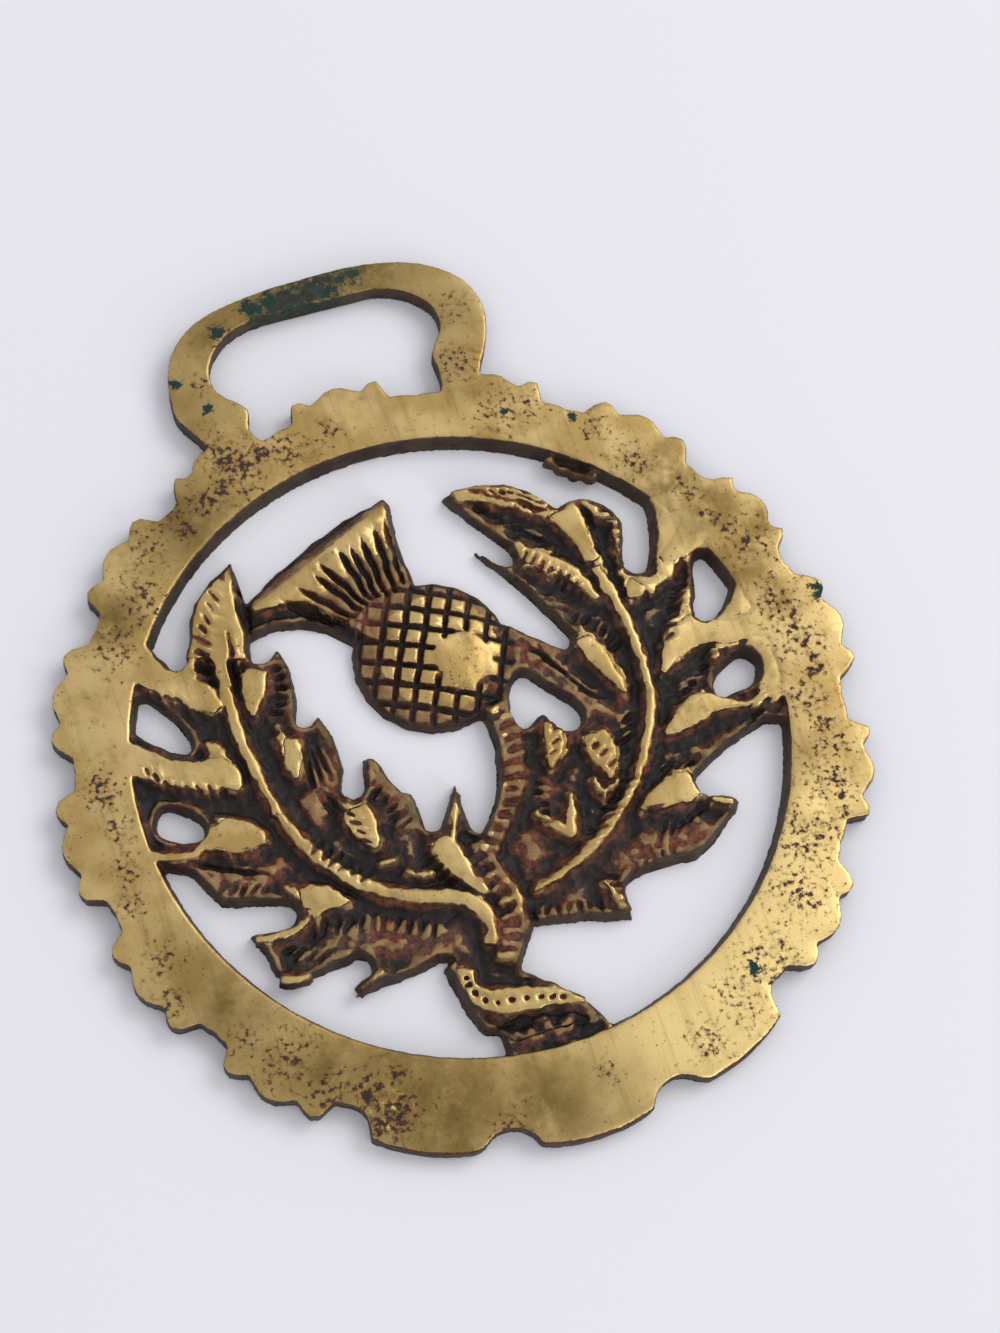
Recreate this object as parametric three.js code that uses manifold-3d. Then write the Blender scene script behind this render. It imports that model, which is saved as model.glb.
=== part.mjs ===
// A thistle horse brass: one sand-cast ornament for a harness strap.
// A scalloped ring carries a strap loop at the top. Inside it a thistle stands between two
// deeply cut leaves that grow out of the ring, and the ground between them is pierced away.
// The back is flat and lies on z = 0, the worn front lands lie on z = FRONT, +Y runs to the loop.

import * as THREE from 'three';
import { mergeVertices } from 'three/addons/utils/BufferGeometryUtils.js';
import Module from 'manifold-3d';

const wasm = await Module();
wasm.setup();

// ---------------------------------------------------------------- driving dimensions, mm

const FRONT = 2.1;          // thickness of the ring, the loop and every polished land
const GROUND = 1.45;        // height of the leaf floors between the lands
const FOOT = 1.2;           // where the sloping side of a land dies into its leaf
const LAND_SLOPE = 0.45;    // how far a land's side spreads on its way down
const LEAF_DRAFT = 0.45;    // how much smaller a leaf is at its top than at the back
const RING_DRAFT = 0.55;    // the same for the ring's opening, which is wider at the front

const OPENING = { x: -0.1, y: 0.5, r: 30.8 };
const LOBES = 16;
// how far each notch strays clockwise from even spacing, in degrees, from the one left of the top lobe
const STRAY = [-2.4, -1, 0.6, 1.2, -2.1, -1.1, 0.2, 1, 0, 0.8, 0.7, 0.2, 0.2, 0, 0.7, 0.5];
const WORN_LOBES = [7, 8, 9];           // the three at the foot, rubbed down to plain swells
const BITE = { at: 38.25, r: 2.25 };    // round notch between two lobes, centred on this radius
const WORN_BITE = { at: 39.6, r: 2.9 };
const BUMP = { at: 35.9, r: 2.5 };      // the middle scallop of a lobe
const KNOB = { at: 36.85, r: 1.15, side: 3.95 };
const CUSP_REACH = 37.35;               // the shallow dip between scallop and knob
const NOTCH_REACH = 36.2;
const WORN_REACH = 38.9;

const HEAD = { x: -0.3, y: 9.1, r: 7.45, rim: 0.9, top: 2.5 };
const LATTICE = { x: -0.7, y: 8.45, pitch: 1.93, gap: 0.45, depth: 0.4, turn: 65 };
const PAD_MARGIN = 1.3;                     // bare edge of the head around the lattice
const RUB = { x: 2.3, y: 7.6, r: 2.75 };    // the spot where the lattice is rubbed smooth

// ---------------------------------------------------------------- plane curves

const turn = THREE.MathUtils.degToRad;
const point = (x, y) => new THREE.Vector2(x, y);
const round = (x, y, r, angle) => point(x + r * Math.cos(angle), y + r * Math.sin(angle));
const circle = (x, y, r, n) => Array.from({ length: n }, (_, i) => round(x, y, r, i / n * 2 * Math.PI));

// A smooth line through a few points [x, y, width], with `steps` short pieces between each pair.
function smooth(points, steps, closed = false) {
  const knots = points.map(([x, y, w = 0]) => new THREE.Vector3(x, y, w));
  const curve = new THREE.CatmullRomCurve3(knots, closed, 'centripetal');
  const count = (closed ? knots.length : knots.length - 1) * steps;
  return Array.from({ length: closed ? count : count + 1 }, (_, i) => curve.getPoint(i / count));
}

// A curve from a to b that swells sideways, to the left of its travel, by `swell`.
function side(a, b, swell, steps) {
  const across = point(a.y - b.y, b.x - a.x).setLength(2 * swell || 1e-9);
  const control = a.clone().add(b).multiplyScalar(0.5).add(across);
  return new THREE.QuadraticBezierCurve(a, control, b).getPoints(steps);
}

// The edge of a cut leaf, walked clockwise. A node is a tip [x, y, swell] or a round eye
// [x, y, swell, r], whose circle is open ground. swell belongs to the side after the node.
// inset draws the same edge smaller: eyes grow and tips draw back.
const LONG_SIDE = 3;
const EYE_STEPS = 5;
function leafEdge(nodes, inset = 0) {
  const at = nodes.map(([x, y]) => point(x, y));
  const size = nodes.map((node) => (node[3] ? node[3] + inset : 0));
  const n = nodes.length;
  const tips = at.map((tip, i) => {
    if (size[i]) return tip;
    const before = at[(i + n - 1) % n].clone().sub(tip).normalize();
    const after = at[(i + 1) % n].clone().sub(tip).normalize();
    const inward = before.clone().add(after);
    if (inward.length() < 0.2) inward.set(after.y, -after.x);
    const convex = before.cross(after) > 0 ? 1 : -1;
    return tip.clone().add(inward.setLength(1.2 * inset * convex));
  });
  // where the side between two nodes touches the eye at either end
  const touch = (i, other, leaving) => {
    if (!size[i]) return tips[i];
    const away = tips[other].clone().sub(tips[i]);
    const lean = Math.acos(Math.min(1, size[i] / away.length()));
    return round(tips[i].x, tips[i].y, size[i], away.angle() + (leaving ? -lean : lean));
  };
  const edge = [];
  for (let i = 0; i < n; i++) {
    const next = (i + 1) % n;
    const start = touch(i, next, true);
    if (size[i]) {
      const from = touch(i, (i + n - 1) % n, false).sub(tips[i]).angle();
      const sweep = (start.clone().sub(tips[i]).angle() - from + 4 * Math.PI) % (2 * Math.PI);
      for (let k = 0; k < EYE_STEPS; k++) {
        edge.push(round(tips[i].x, tips[i].y, size[i], from + sweep * k / EYE_STEPS));
      }
    }
    const end = touch(next, i, false);
    const pieces = at[i].distanceTo(at[next]) > LONG_SIDE ? 4 : 2;
    edge.push(...side(start, end, nodes[i][2], pieces).slice(0, -1));
  }
  return edge;
}

// ---------------------------------------------------------------- solids

function solid(geometry) {
  const bare = geometry.index ? geometry.toNonIndexed() : geometry;
  bare.deleteAttribute('normal');
  bare.deleteAttribute('uv');
  const merged = mergeVertices(bare, 1e-4);
  const vertProperties = new Float32Array(merged.attributes.position.array);
  const triVerts = new Uint32Array(merged.index.array);
  return new wasm.Manifold(new wasm.Mesh({ numProp: 3, vertProperties, triVerts }));
}

// The body between two outlines with as many points each, the lower at z0 and the upper at z1.
function between(low, high, z0, z1) {
  if (THREE.ShapeUtils.area(low) < 0) {
    low = low.slice().reverse();
    high = high.slice().reverse();
  }
  const n = low.length;
  const position = [];
  const place = (p, z) => position.push(p.x, p.y, z);
  for (const [a, b, c] of THREE.ShapeUtils.triangulateShape(low, [])) {
    for (const i of [c, b, a]) place(low[i], z0);
  }
  for (const [a, b, c] of THREE.ShapeUtils.triangulateShape(high, [])) {
    for (const i of [a, b, c]) place(high[i], z1);
  }
  for (let i = 0; i < n; i++) {
    const j = (i + 1) % n;
    const wall = [[low[i], z0], [low[j], z0], [high[j], z1], [low[i], z0], [high[j], z1], [high[i], z1]];
    for (const [p, z] of wall) place(p, z);
  }
  const geometry = new THREE.BufferGeometry();
  geometry.setAttribute('position', new THREE.Float32BufferAttribute(position, 3));
  return solid(geometry);
}

const prism = (outline, z0, z1) => between(outline, outline, z0, z1);
const leafPlate = (nodes, top = GROUND) => between(leafEdge(nodes), leafEdge(nodes, LEAF_DRAFT), 0, top);

// A land along a line of stations [x, y, width], its sides sloping out to its foot.
function land(stations, { steps = 2, top = FRONT, foot = FOOT, slope = LAND_SLOPE } = {}) {
  const line = smooth(stations, steps);
  const flank = (spread) => {
    const left = [];
    const right = [];
    line.forEach((p, i) => {
      const a = line[Math.max(i - 1, 0)];
      const b = line[Math.min(i + 1, line.length - 1)];
      const across = point(a.y - b.y, b.x - a.x).setLength(Math.max(p.z, 0.2) / 2 + spread);
      left.push(point(p.x, p.y).add(across));
      right.unshift(point(p.x, p.y).sub(across));
    });
    return [...left, ...right];
  };
  return between(flank(slope), flank(0), foot, top);
}

// A pipe: the land that runs in from an eye and tapers to nothing, bent sideways by `bend`.
const PIPE_SHAPE = [[0, 0.75], [0.2, 1], [0.5, 0.86], [0.8, 0.45], [1, 0.1]];
function pipe([x0, y0, x1, y1, width, bend = 0]) {
  const stations = PIPE_SHAPE.map(([t, share]) => {
    const bow = 4 * t * (1 - t) * bend / Math.hypot(x1 - x0, y1 - y0);
    const x = x0 + (x1 - x0) * t - (y1 - y0) * bow;
    const y = y0 + (y1 - y0) * t + (x1 - x0) * bow;
    return [x, y, width * share];
  });
  return land(stations, { steps: 1 });
}

const union = (...bodies) => wasm.Manifold.union(bodies.flat());

// ---------------------------------------------------------------- ring and strap loop

// How far a ray at `angle` reaches through a disc that stands at `at` on the axis.
function reach(disc, angle, far = true) {
  const across = disc.at * Math.sin(angle);
  if (Math.abs(across) >= disc.r) return far ? 0 : Infinity;
  return disc.at * Math.cos(angle) + (far ? 1 : -1) * Math.sqrt(disc.r ** 2 - across ** 2);
}

const STEPS_PER_LOBE = 18;
const knob = { at: Math.hypot(KNOB.at, KNOB.side), r: KNOB.r, off: Math.atan2(KNOB.side, KNOB.at) };
const notchAngle = (i) => turn((i - 0.5) * 360 / LOBES + STRAY[i % LOBES]);

function ringEdge() {
  const edge = [];
  for (let lobe = 0; lobe < LOBES; lobe++) {
    const from = notchAngle(lobe);
    const wide = notchAngle(lobe + 1) - from;
    const worn = WORN_LOBES.includes(lobe);
    for (let k = 0; k < STEPS_PER_LOBE; k++) {
      const a = (k / STEPS_PER_LOBE - 0.5) * wide;
      const neighbour = (lobe + (a < 0 ? LOBES - 1 : 1)) % LOBES;
      const notch = worn && WORN_LOBES.includes(neighbour) ? WORN_BITE : BITE;
      const plain = Math.abs(a) < knob.off ? CUSP_REACH : NOTCH_REACH;
      const full = worn
        ? WORN_REACH - 0.9 * (2 * a / wide) ** 2
        : Math.max(plain, reach(BUMP, a), reach(knob, Math.abs(a) - knob.off));
      const r = Math.min(full, reach(notch, wide / 2 - Math.abs(a), false));
      edge.push(round(0, 0, r, Math.PI / 2 - from - wide / 2 - a));
    }
  }
  return edge;
}

function ring() {
  const { x, y, r } = OPENING;
  const overcut = 0.5;
  const flare = RING_DRAFT * overcut / FRONT;
  const opening = between(circle(x, y, r - RING_DRAFT - flare, 96), circle(x, y, r + flare, 96),
    -overcut, FRONT + overcut);
  return prism(ringEdge(), 0, FRONT).subtract(opening);
}

const LOOP_OUTSIDE = [[-13.4, 33], [-15.2, 37], [-16.5, 39.4], [-16.4, 42.6], [-15.2, 46.2], [-12, 49.1],
  [-6, 50.6], [0, 51], [6, 50.9], [11.4, 49.5], [15, 46.6], [16.1, 43.2], [15.3, 39.6], [13.4, 36],
  [13, 33]];
const SLOT_TOP = 47.9;
const LOOP_SLOT = [[5, 48.2], [8.6, 47], [11, 44.6], [11.2, 42], [9.5, 39.4], [9.5, 37.2], [8.4, 34],
  [-8.4, 34], [-10.1, 36.4], [-9.6, 38.5], [-12, 41.2], [-11.9, 44], [-9.4, 46.8], [-5, 48.2]];

const loopBlank = () => prism(smooth(LOOP_OUTSIDE, 3), 0, FRONT);

// The slot's upper edge is straight where the strap pulls, and its foot follows the ring's scallops.
function slotCut() {
  const outline = smooth(LOOP_SLOT, 3).map((p) => point(p.x, Math.min(p.y, SLOT_TOP)));
  const scallops = ringEdge().filter((p) => p.y > 30 && Math.abs(p.x) < 12).sort((a, b) => b.x - a.x);
  const kept = prism([point(-12, 30), point(12, 30), ...scallops], -1, FRONT + 1);
  return prism(outline, -0.5, FRONT + 0.5).subtract(kept);
}

// ---------------------------------------------------------------- leaves

const LEFT_LEAF = [
  [-15.6, 24.1, 0.5], [-15.75, 13.95, 0, 0.85], [-13.9, 14.2, 0.7], [-13.75, 6.5, 0, 0.65],
  [-12.2, 6.7, 0.9], [-11.4, -1.2, 0, 1.0], [-9.7, 1.35, 0], [-8.6, 1.25, 0], [-7.2, -2.9, 0],
  [-6.4, -3.3, 0.2], [-5.4, -6.7, 0, 0.7], [-2.2, -3.4, -0.1], [-1.2, -8, 0, 0.85], [1.5, -8.5, 0],
  [0.6, -18.6, 0], [-2, -22.2, 0], [-8.8, -19.4, 0.2], [-17.2, -20.2, 0], [-15.9, -17.9, 0, 0.95],
  [-21.2, -17.6, 0.1], [-23.3, -16.3, -0.2], [-24.6, -11.9, 0], [-20.9, -11.1, 0, 1.0],
  [-26.1, -8.6, 0.1], [-28.6, -5.8, 0, 1.1], [-32, -3, 0], [-32, 14, 0], [-28, 19, 0],
  [-23.5, 15.7, 0.9, 1.0],
];
const RIGHT_LEAF = [
  [5.6, 24.6, 2.1], [15.9, 20.5, 0.2], [18.5, 20.9, 0.6], [21.9, 17.3, 0], [21.6, 12.7, -0.5, 1.1],
  [24.4, 19.2, 0], [30, 18, 0], [32, 0, 0], [31, -7.5, 0], [27.8, -7.7, -0.3, 1.15], [20.6, -10.5, 0, 1.25],
  [22.9, -12.9, 0.2], [21.3, -14.5, 0], [19, -16.3, 0], [16.8, -17.3, -0.3], [10.5, -18.1, 0, 0.8],
  [9.3, -20.9, -0.2], [0.5, -18.8, 0], [-1.5, -10, 0], [2.8, -5, 0], [4, 4, 0], [7, 10.6, 0],
  [12, 7.1, -0.3, 0.8], [6.7, 18.4, 0], [9.6, 16.8, 0.1, 0.85],
];
// Four small windows where the leaves meet the ring, and one between the stem and the right leaf.
const WINDOWS = [
  [[-26.9, 12.1], [-25.8, 10.6], [-24.8, 8.4], [-24.5, 6.9], [-25.1, 6.5], [-26.5, 7.3], [-28.3, 9.1],
    [-29, 10.4], [-28.5, 11.8], [-27.7, 12.5]],
  [[-29.2, 1], [-28.5, 1.6], [-27.3, 1], [-26, -0.2], [-25.7, -1.3], [-26.3, -1.9], [-27.8, -1.6],
    [-29.2, -0.8], [-29.6, 0.1]],
  [[27.3, 11.3], [28.6, 11.1], [29.4, 9.6], [29.3, 7.8], [28.2, 6.3], [26.6, 5.1], [25.4, 5.2],
    [25.3, 6.3], [26.2, 8.2], [26.6, 9.9]],
  [[25.3, -0.6], [26.6, 0.1], [27.8, 0.6], [28.8, -0.1], [28.7, -1.5], [27.6, -2.4], [25.8, -2.6],
    [24.7, -2.8], [24.5, -1.7]],
  [[6.2, 4.3], [7, 4.8], [7.8, 4.2], [9.2, 2.3], [10.7, 0.6], [11.2, -0.7], [10.6, -1.6], [9.4, -1.7],
    [8.5, -1], [7.8, 0.6], [6.9, 0.1], [5.8, -0.4], [5.4, 0.4], [5.4, 2.8]],
];

const MIDRIBS = [
  [[-19.6, 14.3, 1], [-20, 9.5, 1], [-19.9, 5, 0.8], [-19.3, 0.8, 0.6], [-18.4, -3.4, 0.7],
    [-16.4, -7.2, 0.8], [-13.4, -10.8, 0.9], [-9.6, -13.1, 1], [-6, -14.2, 1.1], [-4.1, -15.6, 1.2],
    [-3.4, -17.3, 1.1], [-4.2, -19.5, 0.7]],
  [[17.4, 13, 0.8], [17.9, 10, 0.9], [18.4, 6.5, 0.7], [18.4, 3, 0.7], [18.1, -0.6, 0.7], [16.8, -3.9, 0.8],
    [15, -7, 0.7], [12.5, -9.9, 0.7], [9.2, -12.5, 0.8], [5.5, -14.6, 0.5], [1.2, -15.9, 0.2]],
];
// The broad lands at the leaf tops and where a lobe runs on into the ring.
const BROAD_LANDS = [
  [[-16, 22.9, 0.3], [-17.7, 20.7, 2.6], [-18.8, 18.4, 4], [-19.2, 16, 4.9], [-19.8, 14.2, 5.2]],
  [[-28, 17.5, 4], [-25, 13.3, 2.4], [-22.6, 11.5, 3], [-21.2, 9.4, 1]],
  [[-31, 7.6, 3], [-27.3, 4.9, 2.3], [-24.4, 3.6, 2.6], [-22.7, 3.1, 3], [-21.3, 1.4, 0.6]],
  [[-31, -2.5, 0.8], [-27.2, -3.5, 0.4], [-25.2, -2.5, 1.5], [-23.6, -2.5, 2.8], [-21.8, -3.4, 2.3],
    [-20.6, -4.2, 0.5]],
  [[16.2, 19.6, 3], [16.8, 17.8, 2.2], [17.2, 15.8, 1.8], [17.4, 13.6, 1]],
  [[10.8, 17.6, 0.6], [11.4, 16.1, 1.4], [13.2, 14.8, 1.3], [15.1, 12.7, 1.4], [16.4, 9.8, 0.3]],
  [[28, 14, 3], [25.6, 12.3, 2], [23.6, 11.8, 0.6]],
  [[31, 2.9, 3], [27, 3, 2], [24.1, 3.9, 3], [22, 3.1, 2.4], [19.9, 0.8, 0.3]],
  [[30.5, -4, 0.9], [26.2, -4.5, 0.3], [23.5, -3.5, 1.6], [21.6, -3.6, 2.5], [19.6, -4.5, 1.4],
    [17.9, -5.1, 0.3]],
];
// [x, y] at the eye, [x, y] at the inner end, width, bend
const PIPES = [
  [-16.5, 12.1, -18.3, 7.6, 2.2, -0.2], [-15.5, 4.6, -16.3, 0.7, 1.5, 0], [-12, -3.6, -11.1, -7.8, 2.6, 0],
  [-5.6, -8.8, -3, -14.9, 2.1, 0], [-19.2, -10.3, -14.9, -12, 2.2, 0.2],
  [-24.3, -12.8, -17.5, -11.8, 0.6, -0.8], [-23.2, -16.9, -20.2, -17.4, 0.7, -0.3],
  [-16.9, -20.1, -13.9, -18.9, 0.6, 0], [-2.6, -4.7, -4.3, -9, 0.5, 0],
  [20.8, 10.3, 19.4, 8.9, 1.7, 0], [13.6, 6.3, 15.8, -0.2, 1.7, 0.1], [11.6, -3, 11.6, -7.8, 2.6, 0.2],
  [7.9, -0.8, 6.6, -5.1, 1.8, 0.5], [19, -10.4, 13.2, -11.4, 2.8, 0], [21.9, -13.2, 19.8, -12.4, 0.6, 0],
  [6.3, -11.9, 3.8, -8.8, 0.7, 0], [6.3, -11.9, 7.6, -8, 0.7, 0], [8.9, -20.3, 7.6, -17, 0.7, -0.2],
  [6.9, 23.9, 12, 21.3, 0.6, 0.1], [15, 20.2, 6.6, 24.3, 0.7, -1], [20.9, 16.8, 18.4, 20, 0.5, 0.2],
  [20.9, 16.8, 20, 12.6, 0.5, -0.2],
];

function leaves() {
  const ground = [leafPlate(LEFT_LEAF), leafPlate(RIGHT_LEAF)];
  return [...ground, ...MIDRIBS.map((line) => land(line)), ...BROAD_LANDS.map((line) => land(line)),
    ...PIPES.map(pipe)];
}

function windowCuts() {
  return WINDOWS.map((corners) => {
    const low = smooth(corners, 2, true);
    const middle = low.reduce((sum, p) => sum.add(p), new THREE.Vector3()).divideScalar(low.length);
    const high = low.map((p) => point(p.x - middle.x, p.y - middle.y))
      .map((p) => p.setLength(p.length() + LEAF_DRAFT + 0.2).add(middle));
    return between(low, high, -0.2, FRONT + 0.2);
  });
}

// ---------------------------------------------------------------- thistle head, tuft, stem, root

// The lattice of small raised squares, cut down to the form of the head.
function pads(form) {
  const cells = [];
  const half = (LATTICE.pitch - LATTICE.gap) / 2;
  const row = turn(LATTICE.turn);
  const along = round(0, 0, LATTICE.pitch, row);
  const over = point(along.y, -along.x);
  for (let i = -4; i <= 4; i++) {
    for (let j = -4; j <= 4; j++) {
      const centre = point(LATTICE.x, LATTICE.y).addScaledVector(along, i).addScaledVector(over, j);
      if (centre.distanceTo(point(HEAD.x, HEAD.y)) > HEAD.r - PAD_MARGIN) continue;
      const square = [45, 135, 225, 315]
        .map((a) => round(centre.x, centre.y, half * Math.SQRT2, turn(a) + row));
      cells.push(prism(square, HEAD.rim, HEAD.top));
    }
  }
  cells.push(prism(circle(RUB.x, RUB.y, RUB.r, 10), HEAD.rim, HEAD.top));
  return union(cells).intersect(form);
}

// A low button with a round top, turned on its own axis and stood on the back.
function button(top) {
  const profile = [point(0, 0), point(HEAD.r + 0.25, 0), point(HEAD.r, HEAD.rim)];
  for (let a = 20; a < 90; a += 20) {
    const c = turn(a);
    profile.push(point(HEAD.r * Math.cos(c), HEAD.rim + (top - HEAD.rim) * Math.sin(c)));
  }
  profile.push(point(0, top));
  const lathe = new THREE.LatheGeometry(profile, 20);
  lathe.rotateX(Math.PI / 2);
  lathe.translate(HEAD.x, HEAD.y, 0);
  return solid(lathe);
}

const thistleHead = () => union(button(HEAD.top - LATTICE.depth), pads(button(HEAD.top)));

const TUFT = [
  [-15.8, 19.2, 0.9], [0.3, 26.4, 0], [0.8, 25.4, -0.3], [0.6, 16.4, 0], [-1, 12, 0], [-5, 11, 0],
  [-7.2, 12.4, -1.6], [-16.4, 15.6, 0],
];
// Each flute runs from the neck [x, y] up to its point under the polished rim [x, y].
const FLUTES = [
  [-6.5, 14.6, -11, 19], [-5.8, 15.2, -8.9, 20.1], [-5, 15.8, -8, 21.1], [-4.6, 16.4, -5.7, 22.2],
  [-3.8, 16, -4.5, 22], [-2.8, 16, -3.3, 22.7], [-1.9, 16.2, -1.6, 23.4], [-0.8, 16.6, -0.6, 23],
];
const FLUTE = { width: 0.75, depth: 0.7, over: 0.4 };

// A sunk groove with a pointed top end, deepest at the neck.
function flute([x0, y0, x1, y1]) {
  const along = point(x1 - x0, y1 - y0);
  const across = point(-along.y, along.x).setLength(FLUTE.width / 2);
  const above = FRONT + FLUTE.over;
  const a = [x0 + across.x, y0 + across.y, above];
  const b = [x0 - across.x, y0 - across.y, above];
  const tip = [x1, y1, above];
  const bottom = [x0, y0, FRONT - FLUTE.depth];
  const end = [x1 - along.x * 0.02, y1 - along.y * 0.02, FRONT - 0.1];
  const faces = [a, b, tip, a, bottom, b, b, bottom, end, b, end, tip, a, tip, end, a, end, bottom];
  const geometry = new THREE.BufferGeometry();
  geometry.setAttribute('position', new THREE.Float32BufferAttribute(faces.flat(), 3));
  return solid(geometry);
}

function tuft() {
  const flank = [point(-17, 17.7), point(-14.4, 17.7), point(-10, 17.3), point(-6.5, 13.5), point(-4, 10),
    point(-20, 8)];
  const slope = between(flank, flank.map((p) => p.clone().add(point(-0.5, 0.5))), GROUND - 0.2, FRONT + 0.5);
  const neck = prism(circle(-2.2, 13.2, 3.4, 16), FRONT - 0.3, FRONT + 0.5);
  const body = between(leafEdge(TUFT), leafEdge(TUFT, 0.75), 0, FRONT);
  return body.subtract(union(slope, neck, ...FLUTES.map(flute)));
}

// The stem drops from the head and runs on as a roped band to the root.
const STEM = [[3.9, 2.5, 2.6], [4, -1, 2.3], [3.3, -4, 2.3], [2, -6.8, 2], [0.2, -9, 1.8], [-1.6, -11, 1.6]];
const BAND = [[-2.4, -10, 1.6], [-2, -13, 1.9], [-1.5, -16, 2], [-1.9, -18.9, 2], [-3.4, -21.6, 2.6]];
const RAIL = [[-1.9, -10, 0.4], [-1.2, -12.6, 0.4], [-0.5, -15.2, 0.4], [-0.4, -17.3, 0.4], [-0.9, -19, 0.4]];
const RUNG = { pitch: 1.15, thick: 0.4, rise: 0.3 };
const STEM_TOP = 1.7;

function rungs(stations, tilt) {
  const line = smooth(stations, 8);
  const bars = [];
  let walked = RUNG.pitch;
  for (let i = 1; i < line.length - 1; i++) {
    walked += line[i].distanceTo(line[i - 1]);
    if (walked < RUNG.pitch) continue;
    walked = 0;
    const way = point(line[i + 1].x - line[i - 1].x, line[i + 1].y - line[i - 1].y).angle() + tilt;
    const over = round(0, 0, line[i].z * 0.42, way + Math.PI / 2);
    const thick = round(0, 0, RUNG.thick / 2, way);
    const corners = [[1, 1], [-1, 1], [-1, -1], [1, -1]]
      .map(([s, t]) => point(line[i].x + s * over.x + t * thick.x, line[i].y + s * over.y + t * thick.y));
    bars.push(prism(corners, STEM_TOP - 0.3, STEM_TOP + RUNG.rise));
  }
  return bars;
}

const stem = () => [
  land(STEM, { top: STEM_TOP, foot: 0, slope: 0.4 }), land(BAND, { top: STEM_TOP, slope: 0.3 }),
  land(RAIL, { slope: 0.3 }), ...rungs(STEM, 0.3), ...rungs(BAND, 0.2),
];

const ROOT = [
  [-8.8, -20.2, 0], [-5, -17.5, 0], [-2, -22.2, 0], [-0.8, -23.2, 0.5], [3.9, -28.5, 0], [4.6, -31.5, 0],
  [-6, -31.5, 0], [-5.8, -27.5, 0], [-7.2, -27, 0], [-8.2, -24.5, 0],
];
const RIBBON = [[-7, -21, 1.1], [-7.3, -22.6, 1.3], [-6.2, -24.2, 1.8], [-4, -25, 2], [-1.4, -25.4, 1.7],
  [0.6, -26.1, 1.1], [2.3, -27, 0.3]];
const RIBBON_DOT = 0.5;

function root() {
  const holes = smooth(RIBBON, 2).slice(1, -2)
    .map((p) => prism(circle(p.x, p.y, RIBBON_DOT / Math.SQRT2, 4), FRONT - 0.5, FRONT + 0.5));
  const ribbon = land(RIBBON).subtract(union(holes));
  const hollow = prism([point(-6.2, -26.6), point(-4, -26.4), point(1.5, -27.6), point(2.4, -28.6),
    point(-5, -28.5)], 0.7, FRONT);
  return leafPlate(ROOT, GROUND).subtract(hollow).add(ribbon);
}

// ---------------------------------------------------------------- the whole casting

function casting() {
  const open = union(ring(), loopBlank()).subtract(slotCut());
  const relief = union(...leaves(), tuft(), ...stem(), root()).subtract(union(windowCuts()));
  return union(open, relief, thistleHead());
}

function meshOf(body) {
  const { vertProperties, triVerts } = body.getMesh();
  const geometry = new THREE.BufferGeometry();
  geometry.setAttribute('position', new THREE.Float32BufferAttribute(vertProperties, 3));
  geometry.setIndex(Array.from(triVerts));
  return geometry;
}

const brass = new THREE.MeshStandardMaterial({ color: 0xc2a566, roughness: 0.42, metalness: 1 });
const horseBrass = new THREE.Mesh(meshOf(casting()), brass);
horseBrass.name = 'horse_brass';

// The origin is the middle of the whole outline, on the back.
horseBrass.geometry.computeBoundingBox();
const middle = horseBrass.geometry.boundingBox.getCenter(new THREE.Vector3());
horseBrass.position.set(-middle.x, -middle.y, 0);

const group = new THREE.Group();
group.add(horseBrass);

export default group;
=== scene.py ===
# %% [markdown]
# # A thistle horse brass
#
# A horse brass is one piece of cast yellow brass. It is poured in sand, filed at the edges, rubbed
# bright on its high parts, and then worn by years on a harness. The solid model gives its true form:
# the pierced outline, the flat lands, the lattice on the thistle's head. This script dresses that form.
# It softens the cast edges, deepens the hollows, cuts the fine hatching, and colours the metal.
#
# Everything is worked out in millimetres from the middle of the ring. Only the finished mesh is scaled
# down to metres.

# %% Load the frame
import math

import bmesh
import bpy
import numpy as np
from mathutils import Matrix, Vector


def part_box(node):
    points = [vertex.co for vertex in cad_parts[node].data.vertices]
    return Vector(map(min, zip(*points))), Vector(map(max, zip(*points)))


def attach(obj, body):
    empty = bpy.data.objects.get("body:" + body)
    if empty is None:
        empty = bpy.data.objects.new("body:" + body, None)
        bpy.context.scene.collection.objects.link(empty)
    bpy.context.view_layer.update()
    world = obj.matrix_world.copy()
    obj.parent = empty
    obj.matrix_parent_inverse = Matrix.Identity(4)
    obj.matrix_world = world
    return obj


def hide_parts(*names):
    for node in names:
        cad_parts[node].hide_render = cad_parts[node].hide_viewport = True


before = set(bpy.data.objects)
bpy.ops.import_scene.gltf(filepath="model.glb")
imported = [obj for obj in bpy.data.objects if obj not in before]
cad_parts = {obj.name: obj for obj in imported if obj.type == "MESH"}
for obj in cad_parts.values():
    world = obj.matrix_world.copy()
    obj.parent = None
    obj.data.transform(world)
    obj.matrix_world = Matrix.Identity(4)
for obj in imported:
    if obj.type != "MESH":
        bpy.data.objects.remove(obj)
scene = bpy.context.scene
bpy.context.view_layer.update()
MM = 0.001

low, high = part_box("horse_brass")
FOOT_REACH = 38.9  # from the ring's middle down to its foot
ring_centre = Vector((0.0, low.y / MM + FOOT_REACH, 0.0))
FRONT = 2.1  # height of the polished lands over the flat back
print("brass is", [round((h - l) / MM, 2) for l, h in zip(low, high)], "mm")
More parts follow.
